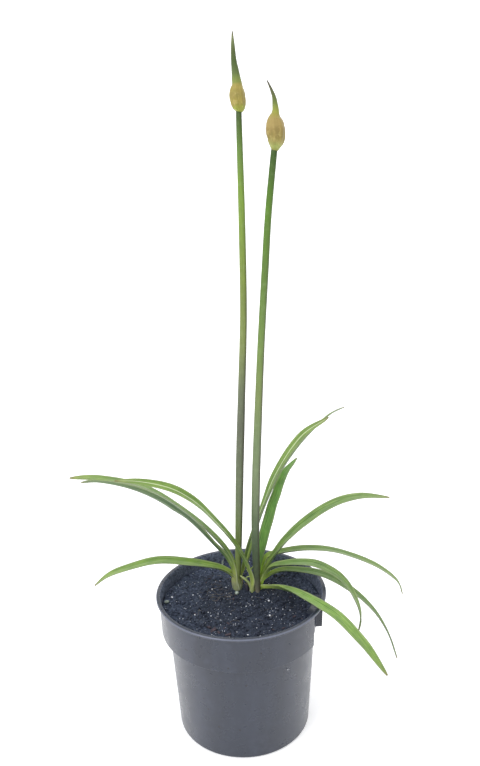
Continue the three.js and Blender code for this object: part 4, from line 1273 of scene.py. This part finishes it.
def stalk_material(name, stops):
    """The stalk's green by its height, with long faint streaks and a waxy bloom."""
    material, tree, shader = new_material(name, roughness=0.45, ior=1.42, Specular_IOR_Level=0.4,
                                          Coat_Weight=0.08, Coat_Roughness=0.35)
    spot = add(tree, "ShaderNodeTexCoord").outputs["Object"]
    height = add(tree, "ShaderNodeSeparateXYZ", {0: spot}).outputs[2]
    share = add(tree, "ShaderNodeMapRange", {0: height, 1: RAMP_BOTTOM * MM, 2: RAMP_TOP * MM})
    span = RAMP_TOP - RAMP_BOTTOM
    green = add(tree, "ShaderNodeValToRGB", {"Fac": share.outputs[0]},
                stops=[((mark - RAMP_BOTTOM) / span, hex_colour) for mark, hex_colour in stops])
    # streaks 0.8 mm wide and 12 mm long
    drawn = add(tree, "ShaderNodeMapping", {"Vector": spot, "Scale": (1.0, 1.0, 0.07)})
    streak = add(tree, "ShaderNodeTexNoise", {"Vector": drawn.outputs[0], "Scale": 1 / (0.8 * MM),
                                              "Detail": 3.0})
    amount = add(tree, "ShaderNodeMapRange", {0: streak.outputs[0], 1: 0.35, 2: 0.7, 3: 0.0, 4: 0.35})
    streaked = add(tree, "ShaderNodeMix", {0: amount.outputs[0], 6: green.outputs[0],
                                           7: linear("#4f5a3a")}, data_type="RGBA")
    bloom = add(tree, "ShaderNodeTexNoise", {"Vector": spot, "Scale": 1 / (4 * MM), "Detail": 4.0})
    hazed = add(tree, "ShaderNodeMapRange", {0: bloom.outputs[0], 1: 0.5, 2: 0.75, 3: 0.0, 4: 0.12})
    bloomed = add(tree, "ShaderNodeMix", {0: hazed.outputs[0], 6: streaked.outputs[2],
                                          7: linear("#a3b38c")}, data_type="RGBA")
    # the right side is darker, partly a purple brown flush and partly painted shade on the side away
    #     # from the front-left light; less so in the youngest part under the bud
    across = add(tree, "ShaderNodeAttribute", attribute_name="across").outputs["Fac"]
    flush_and_painted_shade = add(tree, "ShaderNodeMapRange", {0: across, 1: 0.4, 2: 0.95, 3: 0.0, 4: 0.85})
    older = add(tree, "ShaderNodeMapRange", {0: height, 1: 280 * MM, 2: 400 * MM, 3: 1.0, 4: 0.25})
    flush_and_painted_shade = add(tree, "ShaderNodeMath", {0: flush_and_painted_shade.outputs[0], 1: older.outputs[0]}, operation="MULTIPLY")
    flushed_and_shaded = add(tree, "ShaderNodeMix", {0: flush_and_painted_shade.outputs[0], 6: bloomed.outputs[2],
                                          7: linear("#3b352c")}, data_type="RGBA")
    tree.links.new(flushed_and_shaded.outputs[2], shader.inputs["Base Color"])
    relief = add(tree, "ShaderNodeBump", {"Height": streak.outputs[0], "Strength": 0.25,
                                          "Distance": 0.2 * MM})
    tree.links.new(relief.outputs[0], shader.inputs["Normal"])
    print(name, len(stops), "greens")
    return material


# %% Draw both stalks
for shoot, scape in SCAPES.items():
    stalk_form = marked_form()
    course = Course([(x, scape["y"], height) for x, height, _ in scape["stations"]])
    radii = [(height, radius) for _, height, radius in scape["stations"]]

    def stalk_point(share, turn):
        """A point of the stalk: slightly oval, faintly ribbed and never quite even."""
        centre, ahead = course.at(share)
        depth = Vector((0, 1, 0))
        across = depth.cross(ahead)
        radius = level_row(radii, centre.z)[0]
        radius += 0.05 * cos(2 * turn + 0.8) + 0.025 * cos(turn * 9)
        radius *= 1 + 0.02 * noise.noise(Vector((0, 3 * turn / pi, centre.z / 14)))
        return (centre + across * radius * cos(turn) + depth * radius * sin(turn)) * MM

    draw_out(stalk_form, STALK_RINGS, STALK_SIDES, stalk_point)
    bmesh.ops.recalc_face_normals(stalk_form, faces=stalk_form.faces)
    make_piece("stalk_" + shoot, stalk_form, stalk_material("green_scape_" + shoot, SCAPE_COLOURS[shoot]),
               ["scape_" + shoot], sharp=70)

# %% [markdown]
# ## The buds
# Each flower head is still shut in its spathe, a papery pair of bracts that have grown together and
# are drawn out into a green beak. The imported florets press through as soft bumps. It could be
# sculpted, but rings with a few bumps and two seams give the same form, and they stay easy to adjust.

# %% Where the spathes go
# each station: height, x and radius in mm, and how far the florets press through
BUDS = {
    "left": dict(y=18.7, stations=(
        (456.6, 8.5, 2.2, 0), (457.6, 8.7, 3.3, 0), (460, 8.5, 4.5, 0.06), (463.5, 8, 5.1, 0.06),
        (467, 7.5, 5.3, 0.06), (470.5, 7.5, 4.6, 0.05), (473.5, 7.7, 3.5, 0.02), (476.5, 7.4, 3.1, 0),
        (482, 6.8, 2.5, 0), (489, 6, 1.85, 0), (497, 5.7, 1.35, 0), (506, 5.6, 0.4, 0))),
    "right": dict(y=13.2, stations=(
        (431.2, 31.6, 2.2, 0), (432.6, 31.9, 3.1, 0), (436, 32.4, 5.1, 0.06), (440, 32.7, 5.95, 0.07),
        (444, 32.2, 6.35, 0.07), (448.5, 32, 5.75, 0.06), (450.8, 32, 4.95, 0.04),
        (452.8, 32.2, 3.7, 0.02), (454.4, 32.5, 2.75, 0), (456.4, 32.7, 2.3, 0), (460, 32.4, 1.9, 0),
        (464.5, 31.8, 1.4, 0), (469, 30.2, 0.95, 0), (475, 27.4, 0.4, 0))),
}
FLORET_BUMPS, BUMP_HEIGHT, SEAM_HEIGHT = 7, 0.8, 0.05
BUD_RINGS, BUD_SIDES = 120, 60
print("spathe tips, mm:", {shoot: bud["stations"][-1][0] for shoot, bud in BUDS.items()})

# %% Papery spathe
# the share of the spathe's height, and its colour there: lime at the foot, tan, green, dry at the tip
BUD_COLOURS = {
    "left": ((0.0, "#8a963a"), (0.05, "#939c3c"), (0.09, "#8e8840"), (0.14, "#998c44"), (0.21, "#928848"),
             (0.3, "#a09248"), (0.34, "#998f48"), (0.37, "#838c46"), (0.43, "#71823f"), (0.49, "#5c6d3c"),
             (0.62, "#4b5e30"), (0.76, "#525f34"), (0.86, "#697649"), (0.93, "#7a8058"), (1.0, "#6a6450")),
    "right": ((0.0, "#7f8a40"), (0.06, "#959f56"), (0.12, "#989152"), (0.18, "#8c7f44"), (0.3, "#93804a"),
              (0.36, "#a38f56"), (0.44, "#a28e54"), (0.5, "#9c9248"), (0.55, "#969844"), (0.62, "#858f42"),
              (0.7, "#66753a"), (0.85, "#5b6140"), (1.0, "#5f594e")),
}


def spathe_material(name, stops):
    """Papery spathe: tan over the florets, green along the beak, finely veined and freckled."""
    material, tree, shader = new_material(name, roughness=0.58, ior=1.42, Specular_IOR_Level=0.3,
                                          Sheen_Weight=0.15, Sheen_Roughness=0.5)
    along, across, under = (add(tree, "ShaderNodeAttribute", attribute_name=label).outputs["Fac"]
                            for label in ("along", "across", "under"))
    turn = add(tree, "ShaderNodeMath", {0: under, 1: across}, operation="ARCTAN2").outputs[0]
    spot = add(tree, "ShaderNodeTexCoord").outputs["Object"]
    ramp = add(tree, "ShaderNodeValToRGB", {"Fac": along}, stops=stops)
    # flushes of pink tan in patches over the body, where the sun has caught the paper
    blush = add(tree, "ShaderNodeTexNoise", {"Vector": spot, "Scale": 1 / (5 * MM), "Detail": 2.0})
    blushed = add(tree, "ShaderNodeMapRange", {0: blush.outputs[0], 1: 0.45, 2: 0.7, 3: 0.0, 4: 0.35})
    body = add(tree, "ShaderNodeMapRange", {0: along, 1: 0.3, 2: 0.36, 3: 1.0, 4: 0.0})
    on_body = add(tree, "ShaderNodeMath", {0: blushed.outputs[0], 1: body.outputs[0]},
                  operation="MULTIPLY")
    pink = add(tree, "ShaderNodeMix", {0: on_body.outputs[0], 6: ramp.outputs[0],
                                       7: linear("#a58a52")}, data_type="RGBA")
    # dark and pale blotches of 2 to 3 mm, where the florets press against the paper
    skin = pink.outputs[2]
    blotch = add(tree, "ShaderNodeTexNoise", {"Vector": spot, "Scale": 1 / (2.6 * MM), "Detail": 2.0})
    for low, high, hex_colour in ((0.45, 0.32, "#6f6a30"), (0.55, 0.7, "#d2c27e")):
        patch = add(tree, "ShaderNodeMapRange", {0: blotch.outputs[0], 1: low, 2: high, 3: 0.0, 4: 0.25})
        patch = add(tree, "ShaderNodeMath", {0: patch.outputs[0], 1: body.outputs[0]}, operation="MULTIPLY")
        skin = add(tree, "ShaderNodeMix", {0: patch.outputs[0], 6: skin, 7: linear(hex_colour)},
                   data_type="RGBA").outputs[2]
    # veins run from the stalk to the tip, 18 round the spathe, broken up by the paper's grain
    around = add(tree, "ShaderNodeMath", {0: turn, 1: 18.0}, operation="MULTIPLY")
    vein = add(tree, "ShaderNodeMath", {0: around.outputs[0]}, operation="SINE")
    paper_grain = add(tree, "ShaderNodeTexNoise", {"Vector": spot, "Scale": 1 / (0.9 * MM), "Detail": 4.0})
    broken = add(tree, "ShaderNodeMath", {0: vein.outputs[0], 1: paper_grain.outputs[0]},
                 operation="MULTIPLY")
    amount = add(tree, "ShaderNodeMapRange", {0: broken.outputs[0], 1: 0.0, 2: 0.7, 3: 0.0, 4: 0.12})
    veined = add(tree, "ShaderNodeMix", {0: amount.outputs[0], 6: skin,
                                         7: linear("#6f6238")}, data_type="RGBA")
    # freckles of 0.4 mm
    freckle = add(tree, "ShaderNodeTexVoronoi", {"Vector": spot, "Scale": 1 / (1.6 * MM)})
    dot = add(tree, "ShaderNodeMapRange", {0: freckle.outputs["Distance"], 1: 0.1, 2: 0.2, 3: 0.35,
                                           4: 0.0})
    freckled = add(tree, "ShaderNodeMix", {0: dot.outputs[0], 6: veined.outputs[2],
                                           7: linear("#6b5836")}, data_type="RGBA")
    tree.links.new(freckled.outputs[2], shader.inputs["Base Color"])
    relief = add(tree, "ShaderNodeBump", {"Height": broken.outputs[0], "Strength": 0.4,
                                          "Distance": 0.2 * MM})
    tree.links.new(relief.outputs[0], shader.inputs["Normal"])
    print(name, len(stops), "colours")
    return material


# %% Draw both spathes
for shoot, bud in BUDS.items():
    bud_form = marked_form()
    bottom, top = bud["stations"][0][0], bud["stations"][-1][0]

    def bud_point(share, turn):
        """A point of the spathe: the bumps of the florets, two seams and a slight crumple."""
        height = blend(bottom, top, share)
        x, radius, bulge = level_row(bud["stations"], height)
        ahead_x = level_row(bud["stations"], min(top, height + 1))[0]
        behind_x = level_row(bud["stations"], max(bottom, height - 1))[0]
        lean = atan2(ahead_x - behind_x, min(top, height + 1) - max(bottom, height - 1))
        bumps = BUMP_HEIGHT * bulge * cos(FLORET_BUMPS * turn + 0.6 * sin((height - bottom) * 0.35))
        seam = SEAM_HEIGHT * (max(0.0, cos(turn + 2.2)) ** 24 + max(0.0, cos(turn - 0.9)) ** 24)
        crumple = 0.03 * noise.noise(Vector((cos(turn), sin(turn), height / 3.5)) * 2.3)
        reach = radius * (1 + bumps + seam + crumple)
        across, depth = reach * cos(turn), reach * sin(turn)
        return Vector((x + across * cos(lean), bud["y"] + depth, height - across * sin(lean))) * MM

    draw_out(bud_form, BUD_RINGS, BUD_SIDES, bud_point)
    bmesh.ops.recalc_face_normals(bud_form, faces=bud_form.faces)
    make_piece("spathe_" + shoot, bud_form, spathe_material("papery_spathe_" + shoot, BUD_COLOURS[shoot]),
               ["bud_" + shoot], sharp=60)
